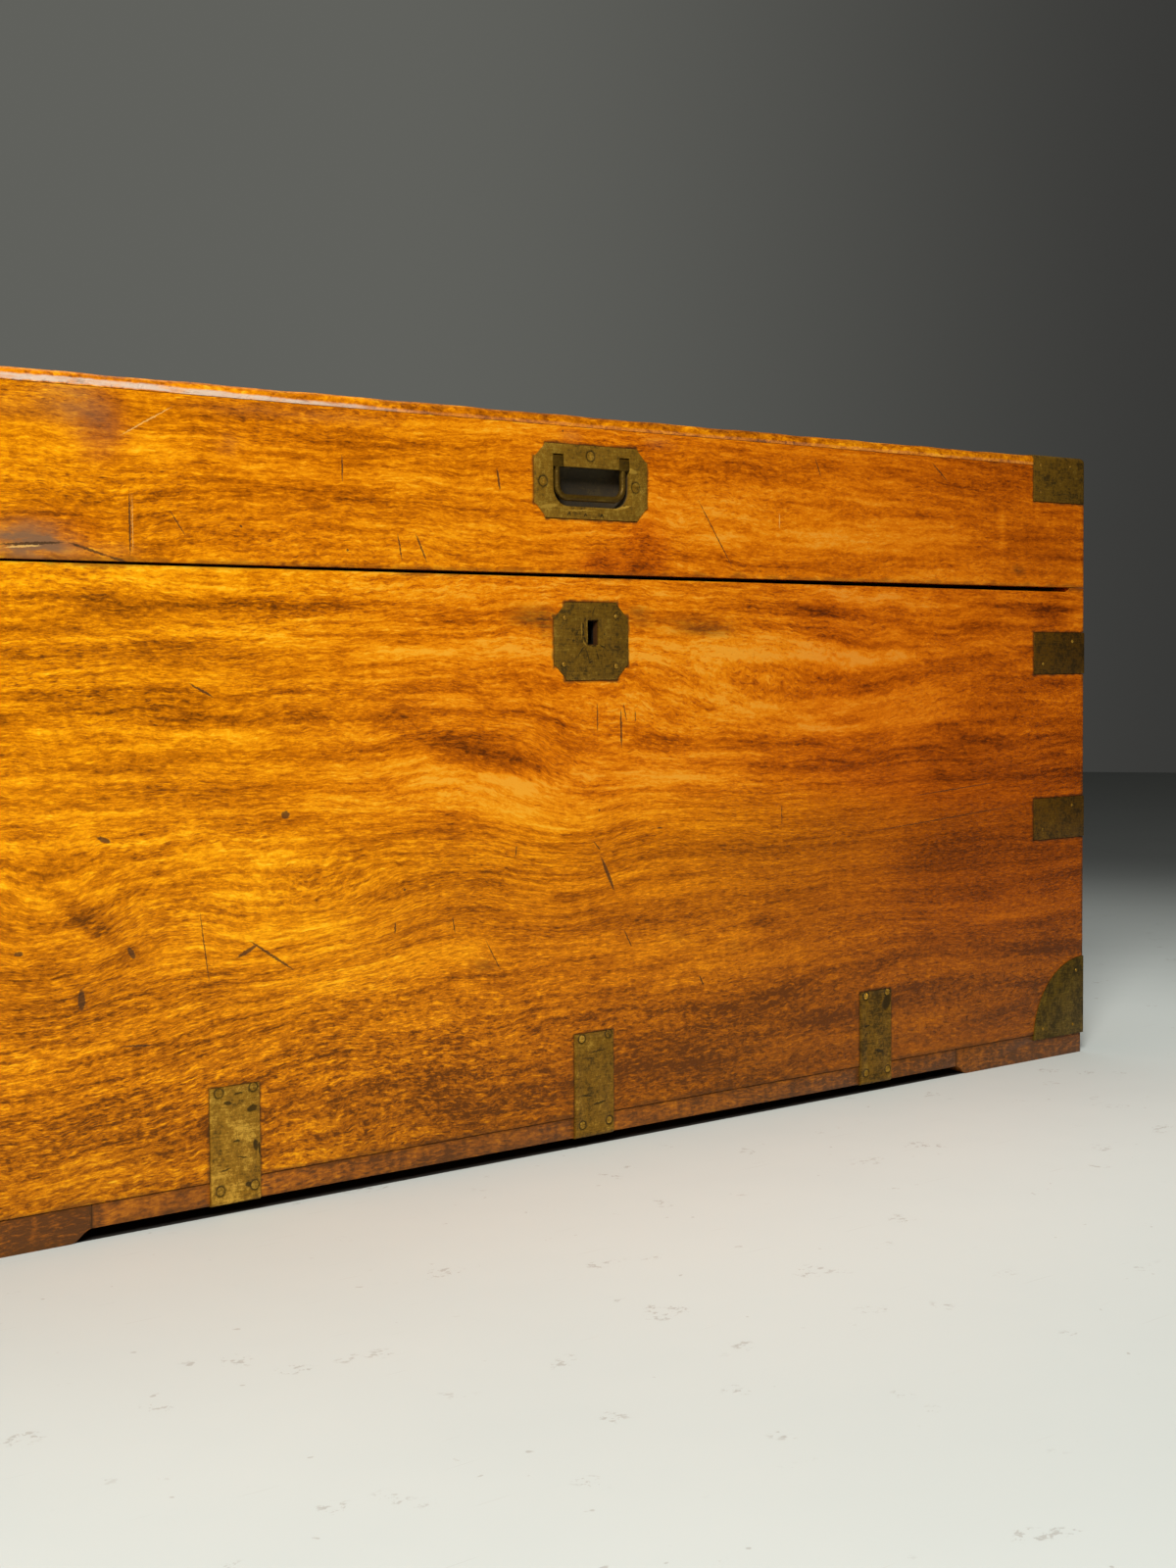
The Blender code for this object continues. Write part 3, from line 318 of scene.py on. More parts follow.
def polished_wood(name, order, seed, box, tone_and_shade=0.0, redness=0.0, ripple=0.3, plates=(), raw=True,
                  dark_marks=(), light_marks=(), edge=0.30, painted=False, dust=0.0, lip=False):
    """Camphor wood under old polish: figure, raw inside, grime beside the brass, worn edges, marks, painted
    shade and painted highlights.
    """
    material, tree = new_material(name)
    place = add(tree, "TexCoord", output="Object")
    inputs = {"Grain": grain_axes(place, order), "Tone": tone_and_shade, "Redness": redness, "Ripple": ripple,
              "Strength": 1.0, "Bands": 1.0, "Seed": seed}
    inside = haze = 0.0
    if painted:
        values = {label: add(tree, "Attribute", output="Fac", attribute_name=label) for label in PAINTED}
        broken = noise(place, (45.0, 45.0, 330.0), 3.0, 0.65)
        stain_and_shade = values.pop("Stain") * span(broken, 0.36, 0.60, 0.50, 1.0)
        haze = values.pop("Haze") * span(noise(place, (60.0, 60.0, 150.0), 3.0, 0.65), 0.30, 0.60, 0.40, 1.0)
        inputs.update(values)
    colour, roughness, height = use_group(tree, camphor_figure, inputs)
    if raw:
        x, y, z = split(place)
        inside = (abs(x) < RAW_HALF_X) * (abs(y) < RAW_HALF_Y) * (z < RAW_TOP)
    if plates:
        grime = beside_plates(place, plates) * (1.0 - inside)
        colour = mixed(grime * 0.80, colour, GRIME_COLOUR)
        roughness = roughness + grime * 0.2
    # Stains and dust darken the colour, and on the front the painted shade inside the keyhole does too; haze
    # dulls it.
    if painted:
        colour = mixed(haze, mixed(stain_and_shade, colour, STAIN_AND_SHADE_COLOUR), HAZE_COLOUR)
        roughness = roughness + haze * 0.3
    if dust:
        colour = mixed(dust, colour, DUST_COLOUR)
    colour = mixed(near_an_edge(place, box) * edge, colour, EDGE_SHADE)
    # The lid's lip is painted pale: a painted highlight on an arris rubbed bare, with a dark seam under it.
    if lip:
        colour = rub_and_light_lip(colour, place)
    if dark_marks:
        scars = all_marks(place, dark_marks)
        colour = mixed(scars * 0.82, colour, SCAR_SHADE)
        height = height - scars * 2.0
        roughness = roughness + scars * 0.25
    # Pale marks: scrapes, and on the lid a painted highlight along a split.
    if light_marks:
        scrapes_and_highlights = all_marks(place, light_marks)
        colour = mixed(scrapes_and_highlights * 0.55, colour, SCRAPE_AND_HIGHLIGHT_SHADE)
        height = height - scrapes_and_highlights
    coat = POLISH_COAT
    if raw:
        dulled = span(noise(place, 7.0, 4.0, 0.6), 0.35, 0.70)
        colour = mixed(inside, colour, mixed(RAW_SHARE, colour, mixed(dulled, RAW_COLOUR, RAW_DULLED)))
        roughness = roughness + inside * 0.28
        coat = (1.0 - calc("MAXIMUM", inside, haze)) * POLISH_COAT
    bump = add(tree, "Bump", {"Strength": BOARD_BUMP, "Distance": BOARD_RELIEF, "Height": height})
    feed(tree.nodes["Principled BSDF"], {
        "Base Color": colour, "Roughness": roughness, "Normal": bump, "Coat Weight": coat,
        "Coat Roughness": POLISH_COAT_ROUGHNESS, "Specular IOR Level": POLISH_SPECULAR,
        "Specular Tint": POLISH_TINT})
    return material


def give(material, *names):
    """Put a finish on CAD nodes in place of their plain one."""
    for name in names:
        for slot in cad_nodes[name].material_slots:
            slot.material = material


STRAP_X = (-0.2725, 0.0, 0.2725)
STRAP_HALF = (0.0165, 0.5, 0.0345)
STRAP_MIDDLE_Z = 0.0412
BRACKET_HALF_Z = 0.0165
BRACKET_HEIGHTS = (0.3266, 0.1940)

END_HANDLE_Z = 0.262
END_PLATE_HALVES = ((0.6, 0.0495, 0.0322), (0.6, 0.0612, 0.0205))
ESCUTCHEON_HALVES = ((0.0225, 0.5, 0.0255), (0.0315, 0.5, 0.0165))


def bracket_seats(face_y, face_x):
    """Places beside which grime gathers: the brackets and base corners of one side."""
    seats = []
    for side in (-1, 1):
        for height in BRACKET_HEIGHTS:
            if face_y:
                seats.append(((side * 0.4882, 0.0, height), (0.0318, 0.5, BRACKET_HALF_Z), 0.0026))
            if face_x:
                seats.append(((0.0, side * 0.2232, height), (0.6, 0.0318, BRACKET_HALF_Z), 0.0026))
    return seats


for name, order, seed, tone_and_shade in (("back_board", "xzy", 4.0, -0.06), ("left_end_board", "yzx", 2.0, 0.02),
                                ("right_end_board", "yzx", 6.0, -0.04), ("bottom_board", "xyz", 8.0, 0.05)):
    on_end = name.endswith("end_board")
    seats = bracket_seats(False, True) if on_end else bracket_seats(True, False)
    if on_end:
        seats += [((0.0, 0.0, END_HANDLE_Z), half, 0.0028) for half in END_PLATE_HALVES]
    if name == "back_board":
        seats += [((x, 0.0, STRAP_MIDDLE_Z), STRAP_HALF, 0.0026) for x in STRAP_X]
    give(polished_wood(f"polished_{name}", order, seed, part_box(name), tone_and_shade=tone_and_shade, redness=0.1,
                       plates=() if name == "bottom_board" else seats), name)


# Front board
# One wide camphor board, planed a little hollow along its rim, with a strong wavy figure: level streaks at
# the top, eyes of swirling grain low at the left, and small knocks and ink stains from a life of travel.

FRONT_STEP = 0.006
RAW_BEHIND = -250.0
MERGE = 0.00001
FLAT = math.radians(0.5)
SMOOTH_ANGLE = math.radians(32)

DARK_FIGURE = (
    (-217, 354, 160, 7, -26), (-345, 357, 30, 7, -20), (-300, 327, 105, 7, -26, -1), (-195, 326, 8, 9, -20),
    (-239, 312, 33, 7, -20), (-297, 291, 18, 5, -25), (-225, 287, 45, 8, -20), (-153, 290, 30, 9, -30, -3),
    (-102, 270, 46, 9, -36, -5), (-68, 257, 42, 7, -28, -4), (-201, 270, 32, 7, -20),
    (-112, 217, 26, 8, -25), (-75, 156, 18, 3, -22), (-365, 182, 35, 6, -25, -38),
    (170, 276, 32, 5, -20, -5), (480, 357, 26, 9, -36), (240, 357, 75, 6, -18), (480, 302, 40, 6, -30),
    (158, 137, 15, 4, -28), (105, 130, 10, 3, -22), (-365, 345, 50, 5, -18), (-120, 337, 40, 5, -20),
    (-330, 303, 60, 4, -20), (-140, 305, 50, 4, -18, 2), (-330, 266, 45, 4, -14), (330, 315, 70, 5, -16),
    (200, 246, 90, 5, -14, -6), (380, 262, 60, 5, -16, -6), (-170, 110, 90, 5, -12, 8),
    (-40, 96, 80, 5, -12, 6), (420, 352, 60, 12, -10), (410, 300, 60, 16, -8), (-240, 300, 40, 8, -5),
    (-240, 250, 40, 12, -6), (240, 200, 60, 15, -5), (120, 148, 110, 16, -9), (-240, 100, 50, 14, -7),
    (450, 350, 50, 16, -8), (-400, 228, 30, 20, -9), (-320, 102, 45, 14, -10),
)
# The first two are broad painted pools of light over the upper middle of the front; the rest is bright
# figure.
BRIGHT_FIGURE_AND_LIGHT = (
    (20, 350, 240, 26, 19), (60, 262, 110, 40, 11), (-232, 163, 65, 30, 26, -5), (-380, 170, 35, 25, 20),
    (-95, 284, 45, 4, 28), (-85, 246, 60, 7, 38, -6), (40, 329, 260, 6, 32, -1), (88, 296, 100, 5, 28, -8),
    (-33, 190, 36, 32, 20), (250, 322, 120, 8, 28, -3), (197, 277, 45, 8, 22, -10), (490, 282, 35, 9, 22),
    (330, 130, 50, 10, 14), (412, 110, 45, 8, 12, -12), (-200, 350, 90, 9, 8), (0, 250, 60, 14, 9),
    (160, 252, 60, 12, 8), (-320, 150, 45, 22, 20), (-70, 52, 70, 12, 16), (160, 52, 50, 12, 18),
    (60, 303, 60, 14, 7), (-75, 205, 30, 20, 9), (-380, 50, 50, 16, 8),
)
# Ink stains. The last, strong spot on the keyhole is painted shade inside it.
STAINS_AND_KEYHOLE_SHADE = (
    (43, 352, 11, 5.5, 75), (91, 348, 37, 6, 42), (108, 342.5, 24, 3.4, 50), (-48, 351, 19, 6, 80),
    (-36, 345, 7, 9, 45), (76, 132, 9, 2.5, 80), (129, 124.5, 11, 2.2, 80), (-89, 127, 9, 2.6, 75),
    (460, 58, 5, 4, 70), (2, 342, 10, 13, 500),
)
GRAIN_EYES = ((-215, 163, 72, 38, 1.7), (-385, 168, 50, 40, 1.6), (-20, 190, 56, 50, 1.6),
              (-90, 262, 60, 26, -1.0))
DARK_MARKS = (
    (13.75, 180.6, 14.5, 1.6, -64.5), (4.6, 200, 5, 0.6, -48), (31, 135.6, 7.8, 0.7, -61),
    (26.5, 277.5, 15, 0.9, -89), (30, 288, 7, 0.5, -77), (6, 285, 11, 0.5, 90), (39, 285, 4, 0.5, 90),
    (97.5, 100.6, 5, 0.8, -60), (176, 212, 8, 0.5, 90), (60, 209, 3, 0.6, 0), (-63, 200.5, 4.5, 0.6, 80),
    (-113, 157, 6, 0.6, 100), (-82.5, 135, 14, 0.4, -60), (7, 223.5, 1, 1, 0), (-150, 182, 1, 1, 0),
    (-234.5, 232.5, 3.5, 2.8, 0), (-352, 224.5, 5, 1.6, -20), (-336.5, 159.5, 4.5, 2, -60),
    (-367.5, 136, 7, 2.5, 90), (-404, 165, 3, 1.5, 0), (-245, 149.5, 21, 0.9, -34),
    (-262, 153.7, 9, 1.4, 25), (-290, 158, 24, 0.45, 97), (-334, 106.5, 11, 0.7, -4),
    (-289, 307, 10, 0.8, -28), (-157.5, 158.7, 4, 0.7, 85), (351, 200.5, 100, 0.4, 4),
    (362, 222.5, 53, 0.4, 4),
)


def own_copy(node):
    """A CAD node's mesh as one closed skin of flat faces."""
    shape = bmesh.new()
    shape.from_mesh(cad_nodes[node].data)
    bmesh.ops.remove_doubles(shape, verts=shape.verts, dist=MERGE)
    bmesh.ops.dissolve_limit(shape, angle_limit=FLAT, verts=shape.verts, edges=shape.edges)
    return shape


def sliced(shape, axis, places, wanted):
    """Cut the wanted faces with planes across an axis, so that they can be painted and worn."""
    normal = Vector((axis == "x", axis == "y", axis == "z"))
    for place in places:
        faces = [face for face in shape.faces if wanted(face)]
        parts = set(faces)
        for face in faces:
            parts.update(face.edges)
            parts.update(face.verts)
        bmesh.ops.bisect_plane(shape, geom=list(parts), plane_co=normal * place, plane_no=normal, dist=MERGE)


def steps_between(low, high, step):
    count = round((high - low) / step)
    return [low + (high - low) * i / count for i in range(1, count)]


def settle(piece):
    """Turn a piece's modifiers into plain mesh."""
    bpy.context.view_layer.update()
    graph = bpy.context.evaluated_depsgraph_get()
    mesh = bpy.data.meshes.new_from_object(piece.evaluated_get(graph))
    piece.modifiers.clear()
    piece.data = mesh


def new_piece(name, shape, material, body):
    mesh = bpy.data.meshes.new(name)
    shape.to_mesh(mesh)
    shape.free()
    if "custom_normal" in mesh.attributes:
        mesh.attributes.remove(mesh.attributes["custom_normal"])
    mesh.materials.clear()
    mesh.materials.append(material)
    for face in mesh.polygons:
        face.material_index = 0
    piece = bpy.data.objects.new(name, mesh)
    bpy.context.scene.collection.objects.link(piece)
    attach(piece, body)
    return piece


def smooth(piece, angle=SMOOTH_ANGLE):
    piece.data.shade_smooth()
    piece.data.set_sharp_from_angle(angle=angle)


def soften(piece, width, segments=2):
    """Break every sharp arris, as handling and polishing do."""
    change = piece.modifiers.new("arrises", "BEVEL")
    change.width = width
    change.segments = segments
    change.limit_method = "ANGLE"
    change.angle_limit = math.radians(38)
    change.use_clamp_overlap = True
    settle(piece)
    smooth(piece)


def places_of(mesh):
    """Vertices of a mesh as an array, in mm."""
    flat = np.empty(len(mesh.vertices) * 3, np.float32)
    mesh.vertices.foreach_get("co", flat)
    return flat.reshape(-1, 3) * 1000


def soft_spots(x, z, spots):
    """Sum of soft ellipses, each (x, z, half length, half height, per cent, tilt or none), mm and degrees."""
    total = np.zeros_like(x)
    for centre_x, centre_z, length, height, strength, *tilt in spots:
        turn = math.radians(sum(tilt))
        along = (x - centre_x) * math.cos(turn) + (z - centre_z) * math.sin(turn)
        across = (z - centre_z) * math.cos(turn) - (x - centre_x) * math.sin(turn)
        total += strength / 100 * np.exp(-((along / length) ** 2 + (across / height) ** 2) ** 1.5)
    return total


def eased(value, low, high):
    share = np.clip((value - low) / (high - low), 0, 1)
    return share * share * (3 - 2 * share)


def paint(mesh, values):
    """Store a value for each vertex of the polished front, and a plain one for the raw side behind it."""
    polished = places_of(mesh)[:, 1] < RAW_BEHIND
    for label in PAINTED:
        plain = 1.0 if label in ("Strength", "Bands") else 0.0
        painted = np.where(polished, values.get(label, 0.0), plain).astype(np.float32)
        mesh.attributes.new(label, "FLOAT", "POINT").data.foreach_set("value", painted)


def faces_front(face):
    return face.normal.y < -0.9


def front_squares(node):
    """A CAD node's mesh with its front face cut into small squares, to be painted."""
    low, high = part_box(node)
    shape = own_copy(node)
    sliced(shape, "x", steps_between(low.x, high.x, FRONT_STEP), faces_front)
    sliced(shape, "z", steps_between(low.z, high.z, FRONT_STEP), faces_front)
    return shape


def front_flow(x, z):
    """How far the grain is bent up or down at a place of the front, in metres."""
    rise = 0.030 * eased(x, -416, -150) * eased(z, -60, 120) * (1 - eased(z, 120, 235))
    fall = 0.016 * eased(x, -340, 60) * eased(z, 180, 245) * (1 - eased(z, 255, 350))
    right_fall = 0.019 * eased(x, -120, 230) * eased(z, 70, 250) * (1 - 0.6 * eased(z, 240, 390))
    return -rise + fall + right_fall + soft_spots(x, z, GRAIN_EYES)


front_plates = bracket_seats(True, False) + [((x, 0.0, STRAP_MIDDLE_Z), STRAP_HALF, 0.0022) for x in STRAP_X]
front_plates += [((0.0012, 0.0, 0.3355), half, 0.0024) for half in ESCUTCHEON_HALVES]
front_wood = polished_wood("polished_front_board", "xzy", 1.0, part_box("front_board"), redness=0.0,
                           ripple=0.16, plates=front_plates, dark_marks=DARK_MARKS, edge=0.60, painted=True)
squares = front_squares("front_board")
front_board = new_piece("camphor_front_board", squares, front_wood, "carcase")
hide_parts("front_board")
x, _, z = places_of(front_board.data).T
# Painted shade, partly the wood's own darker colour: the front grows darker towards the right and the bottom,
# where the lamps' light falls off, with lighter and darker bands at the left.
painted_shade_left = 0.10 * eased(-x, 200, 330) * eased(-z, -400, -340)
painted_shade_left -= 0.10 * eased(x, -330, -260) * eased(z, 325, 345)
painted_shade_left -= 0.10 * eased(-x, 200, 260) * eased(z, 170, 190) * (1 - eased(z, 215, 235))
painted_shade_right = 0.18 * eased(x, -60, 330) * eased(-z, -290, -170)
painted_shade_right += 0.10 * eased(x, 240, 400) * eased(-z, -345, -300)
painted_shade_low = 0.15 * eased(-z, -225, -150) + 0.11 * eased(x, -230, -120) * eased(-z, -245, -190)
painted_shade_low += 0.05 * eased(-x, 200, 300) * (1 - eased(abs(z - 252), 15, 30))
painted_shade_low += (0.06 + 0.16 * eased(x, -260, -90) * eased(-x, -200, -60)) * eased(-z, -90, -40)
painted_shade_low -= 0.16 * eased(x, 180, 330) * eased(-z, -170, -110)
# Dark and bright figure, with painted pools of light among the bright spots.
streaked_and_lit = soft_spots(x, z, DARK_FIGURE) + 0.7 * soft_spots(x, z, BRIGHT_FIGURE_AND_LIGHT)
rough_low_left = 0.30 * eased(-x, -60, 160) * eased(-z, -170, -100)
banded = 0.62 * eased(x, 20, 200) * eased(z, 200, 290) + 0.30 * eased(x, 20, 200) * eased(-z, -220, -160)
redder = 0.50 * eased(x, -380, -120) * eased(z, 190, 250) + 0.30 * eased(x, -250, 0)
redder += 0.55 * eased(x, 90, 420)
dust = (0.18 + 0.10 * eased(x, -220, -60)) * eased(-z, -85, -25)
dust += 0.12 * eased(x, 60, 380) * eased(-z, -170, -60)
paint(front_board.data, {
    "Tone": streaked_and_lit - painted_shade_left - painted_shade_right - painted_shade_low,
    "Redness": np.clip(redder * (1 - 0.4 * eased(-z, -140, -60)), 0, 1.0),
    "Flow": front_flow(x, z),
    "Strength": 0.96 + 0.06 * eased(-x, -100, 200) + rough_low_left - 0.20 * eased(x, 60, 300),
    "Bands": 1.0 + banded + 0.20 * eased(-x, 0, 200) * eased(z, 240, 300),
    "Stain": soft_spots(x, z, STAINS_AND_KEYHOLE_SHADE) + dust})
smooth(front_board)


# Base frame
# Low strips of redder camphor wood under the four sides, ending in corner feet with a small ogee. The feet
# have scuffed over floors for generations: their polish is thin and their lower edges are rubbed round.

FOOT_ARRIS = 0.0009
SKIRT_TONE = -0.42
FOOT_TONE = -0.50
BASE_DUST = 0.40

FEET = ("front_left_foot", "front_right_foot", "back_left_foot", "back_right_foot")
SKIRTS = ("front_skirt", "back_skirt", "left_skirt", "right_skirt")
foot_low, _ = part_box("back_right_foot")
BASE_JOINTS = [((side * foot_low.x, 0.0, 0.011), (0.0002, 0.6, 0.012), 0.0011) for side in (-1, 1)]
BASE_JOINTS += [((0.0, side * foot_low.y, 0.011), (0.6, 0.0002, 0.012), 0.0011) for side in (-1, 1)]
BASE_JOINTS.append(((0.0, 0.0, 0.0215), (0.6, 0.6, 0.0004), 0.0010))
for seed, name in enumerate(SKIRTS + FEET):
    low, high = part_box(name)
    order = "yzx" if name in ("left_skirt", "right_skirt") else "xzy"
    tone_and_shade = SKIRT_TONE if name in SKIRTS else FOOT_TONE
    wood = polished_wood(f"polished_{name}", order, 11.0 + seed, (low, high), tone_and_shade=tone_and_shade, redness=0.25,
                         ripple=0.7, plates=BASE_JOINTS, edge=0.45, raw=False, dust=BASE_DUST)
    piece = new_piece(f"camphor_{name}", own_copy(name), wood, "carcase")
    soften(piece, FOOT_ARRIS)
    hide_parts(name)


# Edge brackets
# Strips of sheet brass bent round the upright arrises, let into both boards and pinned. Long tarnished to
# olive brown, with brighter metal where hands and straps have rubbed the bend.

PLATE_ARRIS = 0.00035
PIN_HEAD = 0.0014
HEAD_DEPTH = 0.0008
SCREW_SUNK = 0.0005
SEAT_SPARE = 0.0005
BRASS_TARNISH = (0.050, 0.026, 0.003)
BRASS_MIDDLE = (0.220, 0.108, 0.008)
BRASS_BARE = (0.560, 0.330, 0.045)
BRASS_SHEEN = (1.0, 0.72, 0.30, 1.0)
PAN_SHADE = (0.020, 0.021, 0.020)
MARK_SHADE = (0.012, 0.008, 0.003)
BLACK = (0.0, 0.0, 0.0, 1.0)
BITE_EASE = 0.25
BITE_SPARE = 0.0005
SINK_DEPTH = 0.0010

brass_tarnish, given, result = shader_group(
    "tarnish", {"Place": (0.0, 0.0, 0.0), "Seed": 0.0, "Dark": BLACK, "Middle": BLACK, "Bright": BLACK,
                "Polish": 0.0}, ("Colour", "Roughness", "Metallic", "Height"))
seed = given["Seed"]
laid = vectors("ADD", given["Place"], add(brass_tarnish, "CombineXYZ", {0: seed, 2: seed}))
px, py, pz = split(laid)
unrolled = add(brass_tarnish, "CombineXYZ", {0: px + py, 1: pz + py * 0.4})
blotches = noise(laid, 75.0, 4.0, 0.6)
mottle = noise(laid, 420.0, 3.0, 0.6)
scored = 0.0
for turn, cells in ((0.12, (75.0, 1300.0, 1.0)), (-0.9, (95.0, 1500.0, 1.0)), (1.45, (85.0, 1400.0, 1.0))):
    turned = add(brass_tarnish, "VectorRotate", {"Vector": unrolled, "Angle": turn}, rotation_type="Z_AXIS")
    scored = calc("MAXIMUM", scored, span(noise(turned, cells, 0.0), 0.70, 0.79))
level = around_half(given["Polish"] + 0.46, (blotches, 1.5), (mottle, 1.2),
                    (noise(unrolled, (110.0, 1000.0, 1.0), 3.0, 0.6), 0.9), (noise(laid, 1500.0, 1.0), 0.5))
colour = mixed(span(level, 0.05, 0.55), given["Dark"], given["Middle"])
colour = mixed(span(level, 0.50, 1.05), colour, given["Bright"])
feed(result, {
    "Colour": mixed(scored * 0.14, colour, given["Bright"]),
    "Roughness": span(level, 0.0, 1.0, 0.62, 0.34) - scored * 0.1,
    "Metallic": span(level, 0.2, 1.0, 0.12, 0.60),
    "Height": around_half(0.5, (mottle, 0.8), (blotches, 1.0)) - scored})


def old_brass(name, seed, tint=1.0, polish=0.0, warm=1.0, pan=None, dark_marks=(), light_marks=(),
              face=-0.2558, facing_end=False):
    """Unpolished brass. Tint makes it lighter or darker, polish barer, warm less green.

    Pan is the axis and the height of a plate's face, below which its pan is painted nearly black as shade.
    Marks are as on the wood, and lie across y in place of x where the brass faces an end.
    """
    material, tree = new_material(name)
    place = add(tree, "TexCoord", output="Object")
    flat = grain_axes(place, "yxz") if facing_end else place
    colours = [(red * tint * warm, green * tint, blue * tint / warm)
               for red, green, blue in (BRASS_TARNISH, BRASS_MIDDLE, BRASS_BARE)]
    colour, roughness, metallic, height = use_group(tree, brass_tarnish, {
        "Place": place, "Seed": seed, "Dark": colours[0], "Middle": colours[1], "Bright": colours[2],
        "Polish": polish})
    if dark_marks:
        scars = all_marks(flat, dark_marks, face)
        colour = mixed(scars * 0.85, colour, MARK_SHADE)
        height = height - scars * 2.0
    if light_marks:
        colour = mixed(all_marks(flat, light_marks, face) * 0.6, colour, colours[2])
    # The pan is painted nearly black and loses its metal: painted shade in the recess behind the plate.
    if pan:
        axis, top = pan
        painted_pan_shade = span(top - abs(split(place)[axis]), 0.0012, 0.0040)
        colour = mixed(painted_pan_shade * 0.93, colour, PAN_SHADE)
        metallic = metallic * (1.0 - painted_pan_shade)
    bump = add(tree, "Bump", {"Strength": 0.4, "Distance": 0.00022, "Height": height})
    feed(tree.nodes["Principled BSDF"], {"Base Color": colour, "Roughness": roughness, "Metallic": metallic,
                                         "Normal": bump, "Specular Tint": BRASS_SHEEN})
    return material


def countersink(piece, sinks, radius):
    """Sink a round seat for each screw, given as (place, outward direction)."""
    tool = bmesh.new()
    for place, facing in sinks:
        turn = Vector(facing).to_track_quat("Z", "Y").to_matrix().to_4x4()
        bmesh.ops.create_cone(tool, cap_ends=True, segments=24, radius1=radius * 0.75, radius2=radius,
                              depth=2 * SINK_DEPTH, matrix=Matrix.Translation(place) @ turn)
    mesh = bpy.data.meshes.new("countersinks")
    tool.to_mesh(mesh)
    tool.free()
    cutter = bpy.data.objects.new("countersinks", mesh)
    bpy.context.scene.collection.objects.link(cutter)
    change = piece.modifiers.new("countersinks", "BOOLEAN")
    change.operation = "DIFFERENCE"
    change.solver = "EXACT"
    change.object = cutter
    settle(piece)
    bpy.data.objects.remove(cutter)


def ease_bites(shape, axis, bite):
    """Draw the hollow corners of a plate a little shallower than the quarter circles of its solid."""
    points = [vert.co for vert in shape.verts]
    ends = {i: (min(point[i] for point in points), max(point[i] for point in points)) for i in (axis, 2)}
    for point in points:
        corner = {i: low if point[i] < (low + high) / 2 else high for i, (low, high) in ends.items()}
        inward = {i: point[i] - corner[i] for i in ends}
        if abs(math.hypot(*inward.values()) - bite) < BITE_SPARE:
            share = 1 - BITE_EASE * math.sin(2 * math.atan2(abs(inward[2]), abs(inward[axis])))
            for i in ends:
                point[i] = corner[i] + inward[i] * share


def brass_piece(node, material, body="carcase", sinks=(), radius=0.0, arris=PLATE_ARRIS,
                bites=None):
    shape = own_copy(node)
    if bites:
        ease_bites(shape, *bites)
    piece = new_piece(f"brass_{node}", shape, material, body)
    if sinks:
        countersink(piece, sinks, radius)
    soften(piece, arris)
    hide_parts(node)


def fastener_tree(name, slotted):
    """Put a screw or pin head on every point, turned and sized by the point's own values."""
    tree = bpy.data.node_groups.new(name, "GeometryNodeTree")
    for label, kind in (("Places", "Geometry"), ("Head radius", "Float"), ("Head depth", "Float"),
                        ("Slot width", "Float"), ("Metal", "Material")):
        tree.interface.new_socket(label, in_out="INPUT", socket_type=f"NodeSocket{kind}")
    tree.interface.new_socket("Heads", in_out="OUTPUT", socket_type="NodeSocketGeometry")
    asked = {output.name: Value(output) for output in tree.nodes.new("NodeGroupInput").outputs}
    radius, depth = asked["Head radius"], asked["Head depth"]
    if slotted:
        head = add(tree, "GeometryNodeMeshCylinder", {"Vertices": 20, "Radius": radius, "Depth": depth})
        size = add(tree, "CombineXYZ", {0: radius * 2.4, 1: asked["Slot width"], 2: depth})
        lift = add(tree, "CombineXYZ", {2: depth * 0.6})
        slot = add(tree, "GeometryNodeTransform", {
            "Geometry": add(tree, "GeometryNodeMeshCube", {"Size": size}), "Translation": lift})
        head = add(tree, "GeometryNodeMeshBoolean", {"Mesh 1": head, "Mesh 2": slot}, operation="DIFFERENCE",
                   solver="EXACT")
    else:
        head = add(tree, "GeometryNodeMeshUVSphere", {"Segments": 12, "Rings": 6, "Radius": radius})
        head = add(tree, "GeometryNodeTransform", {"Geometry": head, "Scale": (1.0, 1.0, 0.42)})
        head = add(tree, "GeometryNodeSetShadeSmooth", {"Geometry": head})
    turned, sized = [add(tree, "GeometryNodeInputNamedAttribute", {"Name": name}, "Attribute", data_type=kind)
                     for name, kind in (("turned", "FLOAT_VECTOR"), ("sized", "FLOAT"))]
    heads = add(tree, "GeometryNodeInstanceOnPoints", {
        "Points": asked["Places"], "Instance": head, "Scale": sized,
        "Rotation": add(tree, "FunctionNodeEulerToRotation", {"Euler": turned})})
    heads = add(tree, "GeometryNodeRealizeInstances", {"Geometry": heads})
    heads = add(tree, "GeometryNodeSetMaterial", {"Geometry": heads, "Material": asked["Metal"]})
    feed(tree.nodes.new("NodeGroupOutput"), {"Heads": heads})
    return tree


slotted_screws = fastener_tree("slotted screws", True)
round_pins = fastener_tree("round pins", False)
turns = random.Random(7)


